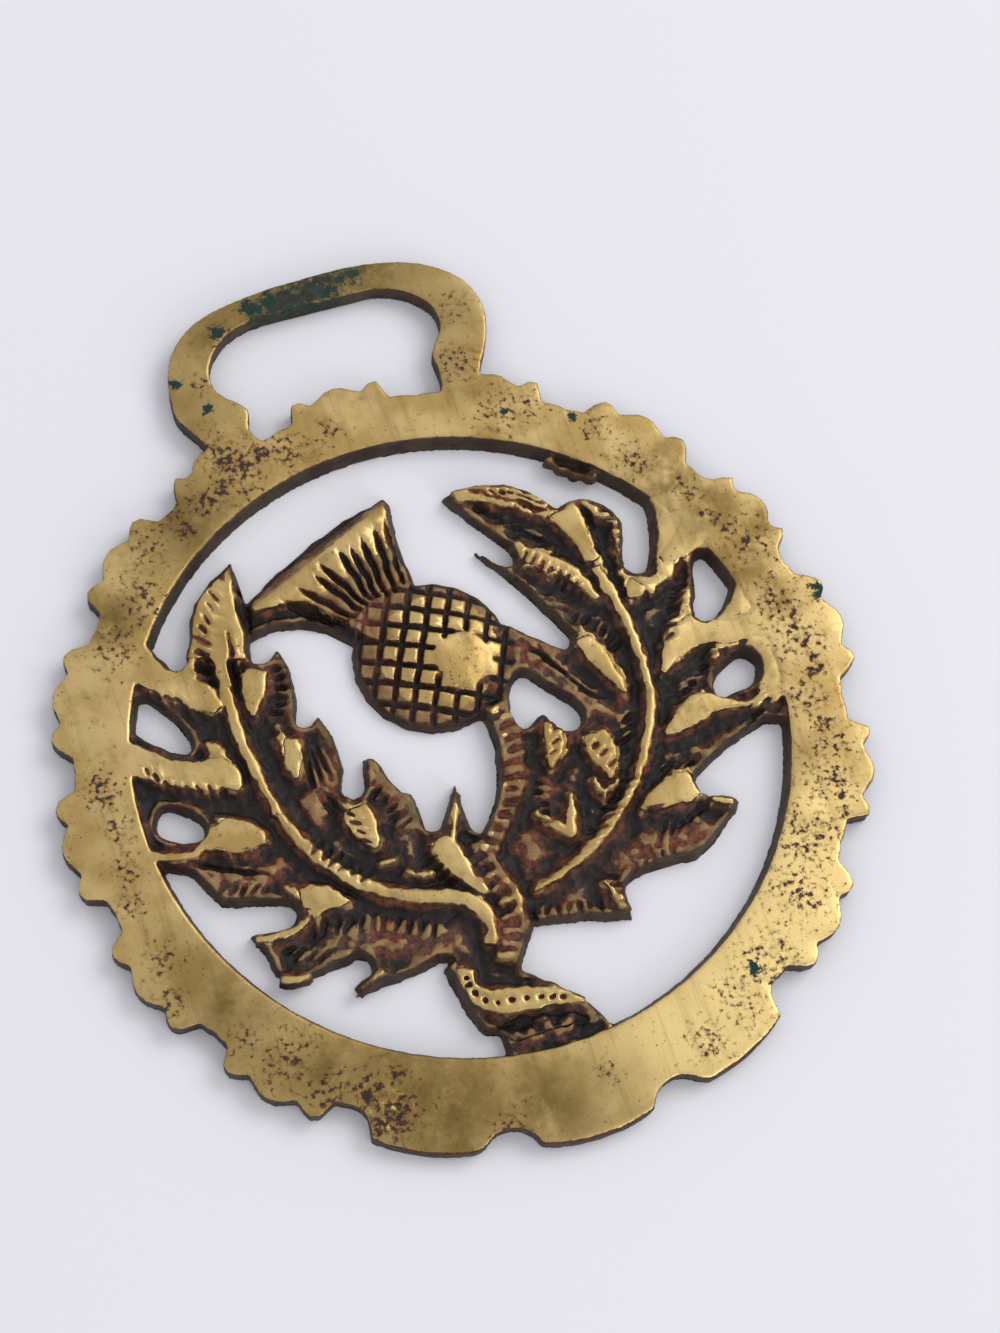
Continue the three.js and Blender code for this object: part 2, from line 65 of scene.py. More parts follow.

# %% [markdown]
# ## The camera, the light and the table
#
# Brass shows what is around it, so the light matters as much as the metal. One large soft lamp stands
# high on the right, like a window, and lets the ring grow brighter towards the lower right, where a painted
# pool of light on the metal adds to it. A weak one from the front models the slopes. The surroundings are
# an even light grey, and the table is plain.

# %% Camera
LENS = 69.08  # mm, on a sensor 36 mm on its long side
LOOK_AT = ring_centre + Vector((5.25, 5.75, FRONT))
DISTANCE = 240.3
STANDS_ROUND = math.radians(29.31)  # to the left of straight in front of the foot
STANDS_HIGH = math.radians(67.45)  # above the table
TOP_OF_VIEW = math.radians(18.68)  # the view's upward way over the table, right of +Y


def aim_camera():
    back = Vector((
        -math.cos(STANDS_HIGH) * math.sin(STANDS_ROUND),
        -math.cos(STANDS_HIGH) * math.cos(STANDS_ROUND),
        math.sin(STANDS_HIGH),
    ))
    hint = Vector((math.sin(TOP_OF_VIEW), math.cos(TOP_OF_VIEW), 0.0))
    right = hint.cross(back).normalized()
    up = back.cross(right)
    camera = bpy.data.objects.new("camera", bpy.data.cameras.new("camera"))
    camera.data.lens = LENS
    camera.data.sensor_width = 36.0
    camera.data.clip_start = 0.01
    turned = Matrix((right, up, back)).transposed().to_4x4()
    camera.matrix_world = Matrix.Translation((LOOK_AT + back * DISTANCE) * MM) @ turned
    scene.collection.objects.link(camera)
    return camera


scene.camera = aim_camera()
print("camera at", [round(c / MM, 1) for c in scene.camera.location], "mm")

# %% Lamps and surroundings


def soft_lamp(name, place, size, watts):
    """A rectangular lamp that looks at the middle of the table; its place and size are in metres."""
    lamp = bpy.data.lights.new(name, "AREA")
    lamp.shape = "RECTANGLE"
    lamp.size, lamp.size_y = size
    lamp.energy = watts
    holder = bpy.data.objects.new(name, lamp)
    holder.location = place
    holder.rotation_euler = (-Vector(place)).to_track_quat("-Z", "Y").to_euler()
    scene.collection.objects.link(holder)


soft_lamp("window", (0.8, 0.2, 0.75), (0.8, 0.6), 4.3)
soft_lamp("side_fill", (0.35, -0.75, 0.35), (0.4, 0.3), 1.2)

world = bpy.data.worlds.new("studio")
scene.world = world
world.use_nodes = True
surroundings = world.node_tree.nodes["Background"]
surroundings.inputs["Color"].default_value = (0.96, 0.95, 1.0, 1.0)
surroundings.inputs["Strength"].default_value = 0.70
scene.view_settings.view_transform = "Standard"

# %% The table
TABLE_HALF = 0.9  # metres from its middle to its edge
sheet = bpy.data.meshes.new("table")
around_it = ((-1, -1), (1, -1), (1, 1), (-1, 1))
sheet.from_pydata([(TABLE_HALF * x, TABLE_HALF * y, 0) for x, y in around_it], [], [(0, 1, 2, 3)])
table = bpy.data.objects.new("table", sheet)
scene.collection.objects.link(table)
table_skin = bpy.data.materials.new("pale_table")
table_skin.use_nodes = True
table_shader = table_skin.node_tree.nodes["Principled BSDF"]
table_shader.inputs["Base Color"].default_value = (0.86, 0.86, 0.89, 1.0)
table_shader.inputs["Roughness"].default_value = 0.85
table_shader.inputs["Specular IOR Level"].default_value = 0.2
table.data.materials.append(table_skin)
print("table is", 2 * TABLE_HALF, "m wide")

# %% [markdown]
# ## The blank: one skin over the whole form
#
# The solid's own faces are long slivers, which can't be softened or carved. A voxel remesh lays an
# even net of small squares over the same form, walls and back included, and it is always one closed
# skin. A net of about a sixth of a millimetre is fine enough for the narrow gaps of the lattice. A few
# lumps of flash go in first, so that the net joins them to the ring's wall as the casting did.

# %% Lay an even net over the form
NET = 0.165  # mm between neighbouring points
FLASH = [  # x, y, z and reach of each lump
    (16.9, 24.9, 1.3, 0.8), (17.9, 24, 1.2, 1), (19, 23, 1.1, 0.8), (20.2, 22.3, 1.2, 0.9),
]
FLASH_FORM = Matrix.Diagonal((1.0, 0.8, 0.6, 1.0))  # the lumps are squashed flat


def apply_modifiers(piece):
    shaped = piece.evaluated_get(bpy.context.evaluated_depsgraph_get())
    mesh = bpy.data.meshes.new_from_object(shaped)
    piece.modifiers.clear()
    piece.data = mesh


def add_flash(mesh):
    """Lumps of metal that ran into the joint of the mould, on the ring's inner wall."""
    form = bmesh.new()
    form.from_mesh(mesh)
    for x, y, z, reach in FLASH:
        lump = Matrix.Translation((x, y, z)) @ FLASH_FORM
        bmesh.ops.create_icosphere(form, subdivisions=2, radius=reach, matrix=lump)
    form.to_mesh(mesh)
    form.free()


def even_net():
    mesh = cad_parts["horse_brass"].data.copy()
    mesh.transform(Matrix.Scale(1 / MM, 4))
    mesh.transform(Matrix.Translation(-ring_centre))
    mesh.materials.clear()
    add_flash(mesh)
    piece = bpy.data.objects.new("thistle_brass", mesh)
    scene.collection.objects.link(piece)
    net = piece.modifiers.new("net", "REMESH")
    net.mode = "VOXEL"
    net.voxel_size = NET
    apply_modifiers(piece)
    return piece


brass = even_net()
print("net has", len(brass.data.vertices), "points")

# %% [markdown]
# ## Soft edges
#
# Sand leaves no sharp edge, and rubbing takes the rest. A few rounds of smoothing pull every crease
# of the net into a small radius, and leave the flat lands flat.

# %% Soften the cast edges


def soften(piece, rounds):
    smooth = piece.modifiers.new("soften", "SMOOTH")
    smooth.factor = 0.5
    smooth.iterations = rounds
    apply_modifiers(piece)


soften(brass, rounds=4)
print("softened", len(brass.data.vertices), "points")

# %% [markdown]
# ## Carving with numbers
#
# From here on the brass is carved by moving its points. Sculpt mode could do it by hand, but numbers
# give the same result every time. Two helpers do most of the work: `ease`, a soft step, and `grain`, a
# smooth noise.

# %% Points and normals as arrays
GRAIN_GRID = 128  # random heights along each side of the noise's grid


def read_points(piece):
    points = np.empty(len(piece.data.vertices) * 3)
    normals = np.empty(len(piece.data.vertices) * 3)
    piece.data.vertices.foreach_get("co", points)
    piece.data.vertex_normals.foreach_get("vector", normals)
    return points.reshape(-1, 3), normals.reshape(-1, 3)


def write_points(piece, points):
    piece.data.vertices.foreach_set("co", points.ravel())
    piece.data.update()


def ease(start, end, value):
    """0 up to start, 1 from end on, and a smooth way between them."""
    share = np.clip((value - start) / (end - start), 0.0, 1.0)
    return share * share * (3.0 - 2.0 * share)


def between(values, i, j, share_i, share_j):
    """A grid's value at a place between the cells i, j and i + 1, j + 1."""
    right, above = (i + 1) % values.shape[0], (j + 1) % values.shape[1]
    near = values[i, j] * (1 - share_i) + values[right, j] * share_i
    far = values[i, above] * (1 - share_i) + values[right, above] * share_i
    return near * (1 - share_j) + far * share_j


def grain(x, y, size, seed):
    """Smooth noise from -1 to 1, with hills about `size` mm across."""
    rough = np.random.default_rng(seed).uniform(-1.0, 1.0, (GRAIN_GRID, GRAIN_GRID))
    u, v = x / size + GRAIN_GRID / 2, y / size + GRAIN_GRID / 2
    i, j = np.floor(u).astype(int), np.floor(v).astype(int)
    return between(rough, i % GRAIN_GRID, j % GRAIN_GRID, ease(0.0, 1.0, u - i), ease(0.0, 1.0, v - j))


def facing_up(normals):
    """1 where the surface faces up, 0 on the walls and the back."""
    return ease(0.2, 0.7, normals[:, 2])


points, normals = read_points(brass)
print("net stands", round(points[:, 2].max(), 2), "mm high")

# %% [markdown]
# ## Lands
#
# On the real leaves each bright land is a small blade. It starts at the bottom of a notch, widens, and
# runs out to a point by the midrib, and its borders are nibbled by the hatching. The solid has the
# midribs and the middles of the lands. Here the rest is pushed up out of the low ground, one blade at a
# time. A blade is a short outline, and its height follows from how far a point lies inside it.

# %% Raise the lands
LEFT_LANDS = [
    [(-22.6, 16.2), (-21.6, 16.6), (-21.3, 15.6), (-22.1, 14.2), (-21.8, 12.6), (-21.3, 11.3), (-20.5, 10.2),
     (-20.8, 9.2), (-21.5, 8.7), (-23, 9.6), (-24, 11), (-25.4, 12), (-25.5, 13.5), (-23.2, 13.8)],
    [(-17.4, 19), (-16.6, 18), (-17.6, 14), (-17.8, 12.2), (-15.8, 11.5), (-16.2, 10.2), (-17, 9),
     (-17.9, 7.6), (-18.6, 8.3), (-18.3, 10.4), (-18.1, 12.4), (-18.1, 15.6)],
    [(-16.6, 6.4), (-15.9, 5.8), (-15.7, 4.4), (-15, 3.9), (-14.8, 2.5), (-15.5, 2), (-16.2, 0.6),
     (-16.7, 1.1), (-16.7, 2.4), (-17, 4)],
    [(-24.6, 4.6), (-23.4, 5.2), (-23.2, 6.6), (-22.1, 6.5), (-21.6, 5.4), (-21, 3.4), (-20.8, 0.9),
     (-22, 1.1), (-23.5, 1.9), (-24.6, 2.9)],
    [(-26.4, -3.2), (-24.9, -2.6), (-24.5, -1.6), (-24.6, -0.3), (-22.9, -1.2), (-21.3, -2.3), (-20.5, -3.2),
     (-20.2, -4.5), (-20.9, -4.5), (-22.4, -4.9), (-24.3, -4.4)],
    [(-20.8, -8.9), (-20.2, -8.5), (-18.6, -9.4), (-17.4, -10.2), (-16.5, -11.2), (-15.8, -12),
     (-17.5, -12.1), (-19.4, -12.9), (-19.2, -11.6), (-19.2, -10.6), (-19.8, -9.8)],
    [(-13.3, -2.2), (-12.2, -3), (-10.8, -3.1), (-10.4, -5), (-11, -7.6), (-11.5, -7.8), (-12, -7),
     (-13, -5.8), (-13.3, -4.4)],
    [(-6.9, -8.4), (-5.9, -8.6), (-5, -8.4), (-4.4, -8), (-4.2, -10), (-3.8, -12), (-3, -13.6),
     (-2.7, -14.8), (-3.4, -14.9), (-4.4, -13.6), (-5.9, -11.7), (-6.5, -10.3)],
    [(-11.5, -9), (-10.2, -8.9), (-9.8, -9.6), (-11.4, -9.8)],
    [(-9.9, -10.2), (-8.2, -10.9), (-6.7, -11.4), (-7.2, -12.1), (-8.8, -11.6)],
]
RIGHT_LANDS = [
    [(6.2, 24.1), (7.8, 23.9), (9.4, 23.2), (11.3, 22.3), (12.6, 21.3), (14, 20.2), (15.3, 20),
     (15.3, 19), (13.4, 19.6), (12.2, 20.8), (11.4, 21.5), (9.6, 22.1), (8.2, 22.7), (7.3, 23.4)],
    [(14.4, 20.6), (16, 19.7), (17.4, 19.4), (18, 18.2), (17.8, 17.4), (18.4, 16.4), (18, 15.6),
     (18.5, 14.3), (17.7, 13.5), (16.9, 14.3), (16.6, 15.4), (16.3, 16.4), (15.7, 17.6), (15.1, 18.4)],
    [(16.8, 14.4), (18.4, 14.3), (18.5, 12), (17.6, 11.8)],
    [(19.2, 12.3), (20, 12.1), (20.4, 11.1), (21.4, 10.7), (22.4, 10.3), (21.5, 9.6), (20.6, 9.1),
     (19.8, 8.8), (19.4, 7.8), (19.1, 9.6)],
    [(25.6, 9.2), (24.6, 8.2), (23.3, 6.3), (22.2, 5.5), (21.8, 4.6), (22.6, 4), (21.4, 3.6), (20.4, 2.4),
     (19.6, 0.4), (20.6, 0.8), (21.9, 1.3), (23.2, 2.2), (24.6, 2.4), (25.8, 3.2), (26.4, 4.2), (24.9, 5.2)],
    [(25.2, 0.4), (26, 1.3), (28, 1.2), (28.8, 2.4), (26.4, 3.4), (25.3, 2), (24.6, 0.9)],
    [(21.2, -2.2), (23, -1.8), (23.8, -3.6), (22.5, -4.5), (20.5, -5.2), (19.3, -5.4), (17.8, -5),
     (19.5, -4.5), (18.9, -3.6), (20.5, -3.4), (20.1, -2.6)],
    [(13.2, -11.3), (15, -10.2), (16.4, -9), (17.6, -8.5), (19.2, -8.6), (19.4, -10), (19.2, -11.4),
     (18.4, -12.1), (17, -11.6), (15, -11.5)],
    [(10.8, 15.6), (11.4, 17), (13.8, 16.1), (14.4, 15.5), (13, 15.2), (14.2, 14.2), (15.4, 13.2),
     (16.2, 12), (15.2, 11.3), (14.3, 12.5), (12.9, 13.3), (12.2, 14.1), (10.2, 14.8)],
    [(13.8, 8), (13.1, 6.2), (13.6, 5.3), (14.2, 4), (14.8, 2.2), (15.3, 0.4), (15.8, 0), (16.5, 0.8),
     (16.4, 2.4), (15.9, 4.2), (15.1, 5.8), (14.6, 7.2)],
    [(10, -3.2), (10.5, -5), (10.9, -6.9), (11.5, -7.5), (12.6, -7.1), (13.4, -5.6), (13.1, -4.4),
     (12.6, -3.3), (11.7, -2.5)],
    [(7.2, -1), (7.9, -0.3), (8.5, -1.7), (9.1, -2.4), (8.9, -4), (8.3, -4.5), (7.2, -4.5), (6.4, -5.1),
     (6.4, -4.2), (6.9, -2.4)],
    [(9.4, -7.8), (10.4, -6.6), (10.6, -8.4), (12.4, -8), (12.2, -8.6), (10.2, -9.6)],
]
LAND = FRONT - 0.05  # a raised land stops just under the rubbed front
ON_LAND = FRONT - 0.12  # metal above this height belongs to a land
LOWEST_LAND = 0.7  # metal below this height belongs to a wall


def depth_inside(x, y, corners):
    """How far each point lies inside an outline, in mm; less than 0 outside it."""
    corners = np.array(corners)
    inside = np.zeros(len(x), bool)
    nearest = np.full(len(x), 9.0)
    for (x0, y0), (x1, y1) in zip(corners, np.roll(corners, -1, 0)):
        crosses = (y0 > y) != (y1 > y)
        inside ^= crosses & (x < x0 + (y - y0) * (x1 - x0) / (y1 - y0 if y1 != y0 else 1.0))
        dx, dy = x1 - x0, y1 - y0
        share = np.clip(((x - x0) * dx + (y - y0) * dy) / (dx * dx + dy * dy), 0, 1)
        nearest = np.minimum(nearest, np.hypot(x - x0 - share * dx, y - y0 - share * dy))
    return np.where(inside, nearest, -nearest)


def raise_land(points, normals, corners, allowed=None):
    """Push the metal inside an outline up to a land; `allowed`, from 0 to 1, can hold points back."""
    low_x, low_y = np.min(corners, axis=0) - 0.5
    high_x, high_y = np.max(corners, axis=0) + 0.5
    x, y, z = points.T
    steepest = 0.2 if allowed is None else -0.1
    near = (x > low_x) & (x < high_x) & (y > low_y) & (y < high_y)
    near &= (normals[:, 2] > steepest) & (z > LOWEST_LAND)
    nibbled = 0.16 * grain(x[near], y[near], 0.5, 31) + 0.1 * grain(x[near], y[near], 0.25, 32)
    inside = ease(-0.05, 0.3, depth_inside(x[near], y[near], corners) + nibbled)
    inside = inside * (facing_up(normals[near]) if allowed is None else allowed[near])
    points[near, 2] += np.maximum(LAND - z[near], 0) * inside


for corners in LEFT_LANDS + RIGHT_LANDS:
    raise_land(points, normals, corners)
print("raised", len(LEFT_LANDS) + len(RIGHT_LANDS), "lands")

# %% [markdown]
# ## A map of the form
#
# To carve like an engraver the script has to know where it is: on a rubbed land, in a hollow, or by an
# edge. It could ask the mesh at every point, but a map is simpler. The map is a grid of quarter
# millimetre cells over the brass. Each cell holds the height of the metal there, and from that come two
# more maps: how far it is to the nearest land, and how far to the nearest edge.

# %% Draw the map
CELL = 0.25  # mm along each side of a cell
FAR = 4.0  # distances on the map stop here
MARGIN = 6  # empty cells round the brass
map_corner = points[:, :2].min(axis=0) - MARGIN * CELL
map_shape = tuple(((points[:, :2].max(axis=0) - map_corner) / CELL).astype(int) + MARGIN + 2)


def height_map(points):
    heights = np.full(map_shape, -1.0)
    i, j = ((points[:, :2] - map_corner) / CELL).round().astype(int).T
    np.maximum.at(heights, (i, j), points[:, 2])
    return heights


def distance_map(goal):
    """How far each cell is from the nearest cell of the goal, counted in straight and slanted steps."""
    far = np.where(goal, 0.0, FAR)
    steps = [(i, j) for i in (-1, 0, 1) for j in (-1, 0, 1) if i or j]
    for _ in range(int(FAR / CELL)):
        around = [np.roll(far, step, (0, 1)) + CELL * math.hypot(*step) for step in steps]
        far = np.minimum.reduce([far] + around)
    return far


def blur_map(values, reach):
    """Spread each cell's value over its neighbours, to about `reach` mm."""
    for _ in range(int(2 * (reach / CELL) ** 2)):
        values = (np.roll(values, 1, 0) + 2 * values + np.roll(values, -1, 0)) / 4
        values = (np.roll(values, 1, 1) + 2 * values + np.roll(values, -1, 1)) / 4
    return values


def look_up(values, x, y):
    """A map's value at points that lie between its cells."""
    u, v = (x - map_corner[0]) / CELL, (y - map_corner[1]) / CELL
    i, j = np.floor(u).astype(int), np.floor(v).astype(int)
    return between(values, i, j, u - i, v - j)


to_edge = distance_map(height_map(points) < 0)
print("map of", map_shape, "cells")

# %% [markdown]
# ## The ring's corners
#
# Between the eyes of the leaves and the ring there is no low ground on the real brass: the ring's front
# runs on as far as each eye. These corners are raised like the lands, but the map of edges holds the
# last half millimetre down, so each eye keeps its dark wall.

# %% Raise the ring's corners
RING_CORNERS = [
    [(26.6, 13.4), (28, 14.2), (29.6, 12.4), (31.6, 6.6), (31.9, 3.2), (26, 3.2), (25.2, 4.4),
     (25.4, 8), (26, 11)],
    [(29, 2.6), (31.8, 2.8), (32, -4.6), (27, -5.6), (26.4, -5), (28, -3.6), (28.4, -1.6),
     (28.2, 0.6)],
    [(24.4, 19.4), (27.2, 19), (29.4, 14.6), (27.8, 13), (25.2, 11), (24.1, 10), (22.6, 10.4),
     (23.2, 12.4), (24, 14.4), (24.4, 16.6)],
    [(20.4, 11.1), (21.4, 10.7), (22.4, 10.5), (24, 11.2), (24.8, 10.2), (23.4, 9.4), (22.4, 8.9),
     (21.4, 8.2)],
    [(-24.6, 13), (-23.4, 15.4), (-22.6, 16.8), (-21.2, 16.8), (-21.6, 14.8), (-22.4, 13.2),
     (-23.4, 12.6)],
]
for corners in RING_CORNERS:
    off_the_wall = ease(0.55, 1.0, look_up(to_edge, points[:, 0], points[:, 1]))
    raise_land(points, normals, corners, off_the_wall)
heights = height_map(points)
to_land = distance_map(heights > ON_LAND)
print("raised", len(RING_CORNERS), "corners;", round((heights > 0).sum() * CELL ** 2), "mm2 of metal")

# %% [markdown]
# ## Unsteady borders
#
# A land cut by hand has no straight border. Moving every carved point a little sideways by noise makes
# all borders waver at once, with no need to redraw one. The ring and the outer edges stay in place.

# %% Shift the carving a little
OPENING = 30.8  # mm from the middle of the opening to its edge
OPENING_RISE = 0.5  # the opening sits this much above the ring's middle


def from_opening(x, y):
    return np.hypot(x, y - OPENING_RISE)


def on_the_leaves(x, y):
    """1 on the leaves, the thistle and the root, 0 on the ring and the loop."""
    return 1 - ease(OPENING - 1.6, OPENING - 0.6, from_opening(x, y))


def unsettle(points):
    x, y, z = points.T
    carved = 1 - ease(OPENING - 0.8, OPENING, from_opening(x, y))
    carved = carved * ease(0.5, 1.2, look_up(to_edge, x, y)) * ease(0.7, 1.0, z)
    points[:, 0] += carved * (0.14 * grain(x, y, 0.9, 21) + 0.09 * grain(x, y, 0.45, 22))
    points[:, 1] += carved * (0.14 * grain(x, y, 0.9, 23) + 0.09 * grain(x, y, 0.45, 24))


unsettle(points)
print("shifted the carving of", int((on_the_leaves(*points[:, :2].T) > 0.5).sum()), "points")

# %% [markdown]
# ## Hollows
#
# The lobes of the leaves aren't flat beds. Each dips beside its land, where the pattern maker's gouge
# went in, and rises again to a soft lip at the edge. Sculpting it by hand would give the same, but the
# two distance maps say it in two lines: a dip a little way from a land, and a lip a little way from an
# edge. The thistle's head keeps its own round form.

# %% Gouge the hollows
HEAD = (-0.3, 9.1, 7.8)  # middle and reach of the thistle's head
DIP = 0.42  # mm that a hollow sinks beside its land
LIP = 0.22  # mm that its lip rises,
LIP_PLACE = 0.75  # this far in from the edge
LIP_WIDTH = 0.4


def off_the_head(x, y):
    return ease(HEAD[2] - 0.4, HEAD[2] + 0.2, np.hypot(x - HEAD[0], y - HEAD[1]))


def gouge(points, normals):
    """Carve the hollows, and say with 0 to 1 where the low ground is."""
    x, y, z = points.T
    near_land = look_up(to_land, x, y)
    near_edge = look_up(to_edge, x, y)
    low_ground = (1 - ease(FRONT - 0.4, ON_LAND, z)) * facing_up(normals) * off_the_head(x, y)
    dip = DIP * ease(0.2, 0.9, near_land) * (1 - ease(1.3, 2.8, near_land)) * ease(0.5, 1.3, near_edge)
    lip = LIP * np.exp(-(((near_edge - LIP_PLACE) / LIP_WIDTH) ** 2))
    z += low_ground * (lip - dip)
    return low_ground


low_ground = gouge(points, normals)
print("hollow ground:", int((low_ground > 0.5).sum()), "points")

# %% [markdown]
# ## Edges, thistle head and tuft
#
# The leaves are rounded over at their edges, far more than the ring. The head is crossed by two sets of
# grooves, and one spot is rubbed so bare that they are gone. The tuft sinks from a bright rim to its
# neck, and nine flutes part it like a fan. Each of these cuts is a simple rule: how far a point is from
# an edge, from a line of a grid, or from the middle of a flute.

# %% Round the edges, cut the head and shape the tuft
SHOULDER = 1.0  # mm, how far in from an edge the rounding starts
SHOULDER_DROP = 0.5  # mm that it falls to the edge
LATTICE = {"x": -0.7, "y": 8.45, "pitch": 1.93, "turn": 65, "half_groove": 0.3, "depth": 0.42}
RUBBED_SPOT = (2.2, 7.3, 2.75)  # middle and reach of the bare spot
TUFT_RIM = [(-15.8, 19.2), (0.3, 26.4)]  # the tuft's top edge, from its left tip to its right
TUFT_BEVEL = 1.3  # mm, how wide the slope along that edge is
TUFT_LENGTH = 11.0  # mm from the rim to the neck
FLUTE_DEPTH = 0.75
FLUTES = [  # from its point under the rim to the neck
    ((-12.8, 18.5), (-6.9, 14.4)), ((-10.9, 19.3), (-6.1, 14.7)), ((-8.9, 20.2), (-5.3, 15.2)),
    ((-8.1, 21.2), (-4.7, 15.6)), ((-5.8, 22.3), (-4.2, 16)), ((-4.6, 22.1), (-3.4, 16)),
    ((-3.3, 22.8), (-2.6, 16)), ((-1.7, 23.6), (-1.7, 16)), ((-0.5, 24), (-0.7, 16.4)),
]


def shoulders(points):
    """Round over the edges of the leaves and the tuft, but not the ring's own."""
    x, y, z = points.T
    over = np.clip(1 - look_up(to_edge, x, y) / SHOULDER, 0, 1) ** 2
    z -= SHOULDER_DROP * over * on_the_leaves(x, y) * ease(0.8, 1.4, z) * off_the_head(x, y)


def cut_lattice(points, normals):
    """Cut the two sets of crossing grooves on the thistle's head, but not where it is rubbed smooth."""
    x, y, z = points.T
    turn = math.radians(LATTICE["turn"])
    dx, dy = x - LATTICE["x"], y - LATTICE["y"]
    one = (dx * math.cos(turn) + dy * math.sin(turn)) / LATTICE["pitch"] + 0.06 * grain(x, y, 2.0, 34)
    other = (dx * math.sin(turn) - dy * math.cos(turn)) / LATTICE["pitch"] + 0.06 * grain(x, y, 2.0, 35)
    off_groove = np.minimum(np.abs(one % 1 - 0.5), np.abs(other % 1 - 0.5)) * LATTICE["pitch"]
    from_rub = np.hypot(x - RUBBED_SPOT[0], y - RUBBED_SPOT[1]) + 0.25 * grain(x, y, 0.8, 36)
    half = LATTICE["half_groove"] * (0.75 + 0.35 * ease(3.0, 7.5, from_rub))
    lattice = np.clip(1.3 - off_groove / half, 0, 1)
    unrubbed = ease(RUBBED_SPOT[2] - 0.1, RUBBED_SPOT[2] + 0.3, from_rub)
    on_head = (1 - off_the_head(x, y)) * ease(0.2, 0.6, normals[:, 2]) * ease(0.9, 1.4, z)
    z -= LATTICE["depth"] * lattice * unrubbed * on_head


def shape_tuft(points, normals):
    """The tuft sinks from its bright rim towards the neck, and its top edge slopes off."""
    x, y, z = points.T
    start, end = np.array(TUFT_RIM)
    length = np.hypot(*(end - start))
    way = (end - start) / length
    along = (x - start[0]) * way[0] + (y - start[1]) * way[1]
    below = (x - start[0]) * way[1] - (y - start[1]) * way[0]
    inside = ease(0.0, 0.5, along) * ease(0.0, 0.3, length - along)
    inside = inside * (below > -1.5) * (below < TUFT_LENGTH) * off_the_head(x, y) * ease(0.5, 1.2, z)
    sunk = 0.5 * ease(3.0, 7.0, below) + 0.9 * np.clip(1 - below / TUFT_BEVEL, 0, 1)
    z -= inside * sunk * ease(0.0, 0.5, normals[:, 2])


def flute(points, tip, neck):
    """A groove with a sharp point at the rim, which widens and then closes again at the neck."""
    way = np.subtract(neck, tip)
    length = np.hypot(*way)
    dx, dy = points[:, 0] - tip[0], points[:, 1] - tip[1]
    along = (dx * way[0] + dy * way[1]) / length
    near = (along > 0) & (along < length) & (normals[:, 2] > 0.2)
    sway = 0.12 * grain(along[near], along[near], 1.3, 33)
    across = (dx[near] * way[1] - dy[near] * way[0]) / length + sway
    share = along[near] / length
    half = 0.06 + 0.42 * ease(0.0, 0.4, share) - 0.22 * ease(0.5, 1.0, share)
    deep = FLUTE_DEPTH * ease(0.0, 0.25, share) * (1 - 0.4 * ease(0.6, 1.0, share))
    points[near, 2] -= deep * np.clip(1.25 - np.abs(across) / half * 1.25, 0, 1)


shoulders(points)
cut_lattice(points, normals)
shape_tuft(points, normals)
for tip, neck in FLUTES:
    flute(points, tip, neck)
print(len(FLUTES), "flutes;", int((off_the_head(*points[:, :2].T) < 0.5).sum()), "points on the head")

# %% [markdown]
# ## Hatching
#
# The leaves are veined with rows of short cuts, like the rungs of a ladder, struck with a graver before
# casting. A row follows a line. It has a pitch, and each cut has a length, a direction and a depth. The
# cuts could be modelled one by one, but a row of them is a loop: walk along the line, and press a
# V-shaped groove into the net at each step. Hand work is never quite even, so each cut strays a little.

# %% A row of cuts
chance = np.random.default_rng(11)  # the hand's small unevenness, the same every time


def cut(points, middle, angle, length, width, depth):
    """Press one groove, deepest in the middle, and push up a burr along each side of it."""
    dx, dy = points[:, 0] - middle[0], points[:, 1] - middle[1]
    near = (np.abs(dx) < length) & (np.abs(dy) < length)
    along = dx[near] * math.cos(angle) + dy[near] * math.sin(angle)
    across = dy[near] * math.cos(angle) - dx[near] * math.sin(angle)
    ends = np.sqrt(np.clip(1 - (along / (length / 2)) ** 2, 0, 1))
    off = np.abs(across) / (width / 2)
    groove = np.clip(1 - off, 0, 1)
    burr = np.clip(1 - 2 * np.abs(off - 1.5), 0, 1)
    points[near, 2] -= depth * ends * (groove - 0.3 * burr) * facing_up(normals[near])


def hatch(points, line, pitch, length, degrees, depth=0.42, width=0.6):
    """Walk along a line and make a cut at every step, each a little astray."""
    line = np.array(line, float)
    pieces = np.hypot(*np.diff(line, axis=0).T)
    walked = np.concatenate([[0.0], np.cumsum(pieces)])
    for at in np.arange(0.0, walked[-1] + 0.01, pitch):
        stray = chance.normal(size=5)
        strayed = at + 0.08 * stray[0]
        x, y = np.interp(strayed, walked, line[:, 0]), np.interp(strayed, walked, line[:, 1])
        angle = math.radians(degrees + 7 * stray[1])
        reach = length * (1 + 0.15 * stray[2])
        cut(points, (x, y), angle, reach, width * (1 + 0.12 * stray[3]), depth * (1 + 0.2 * stray[4]))


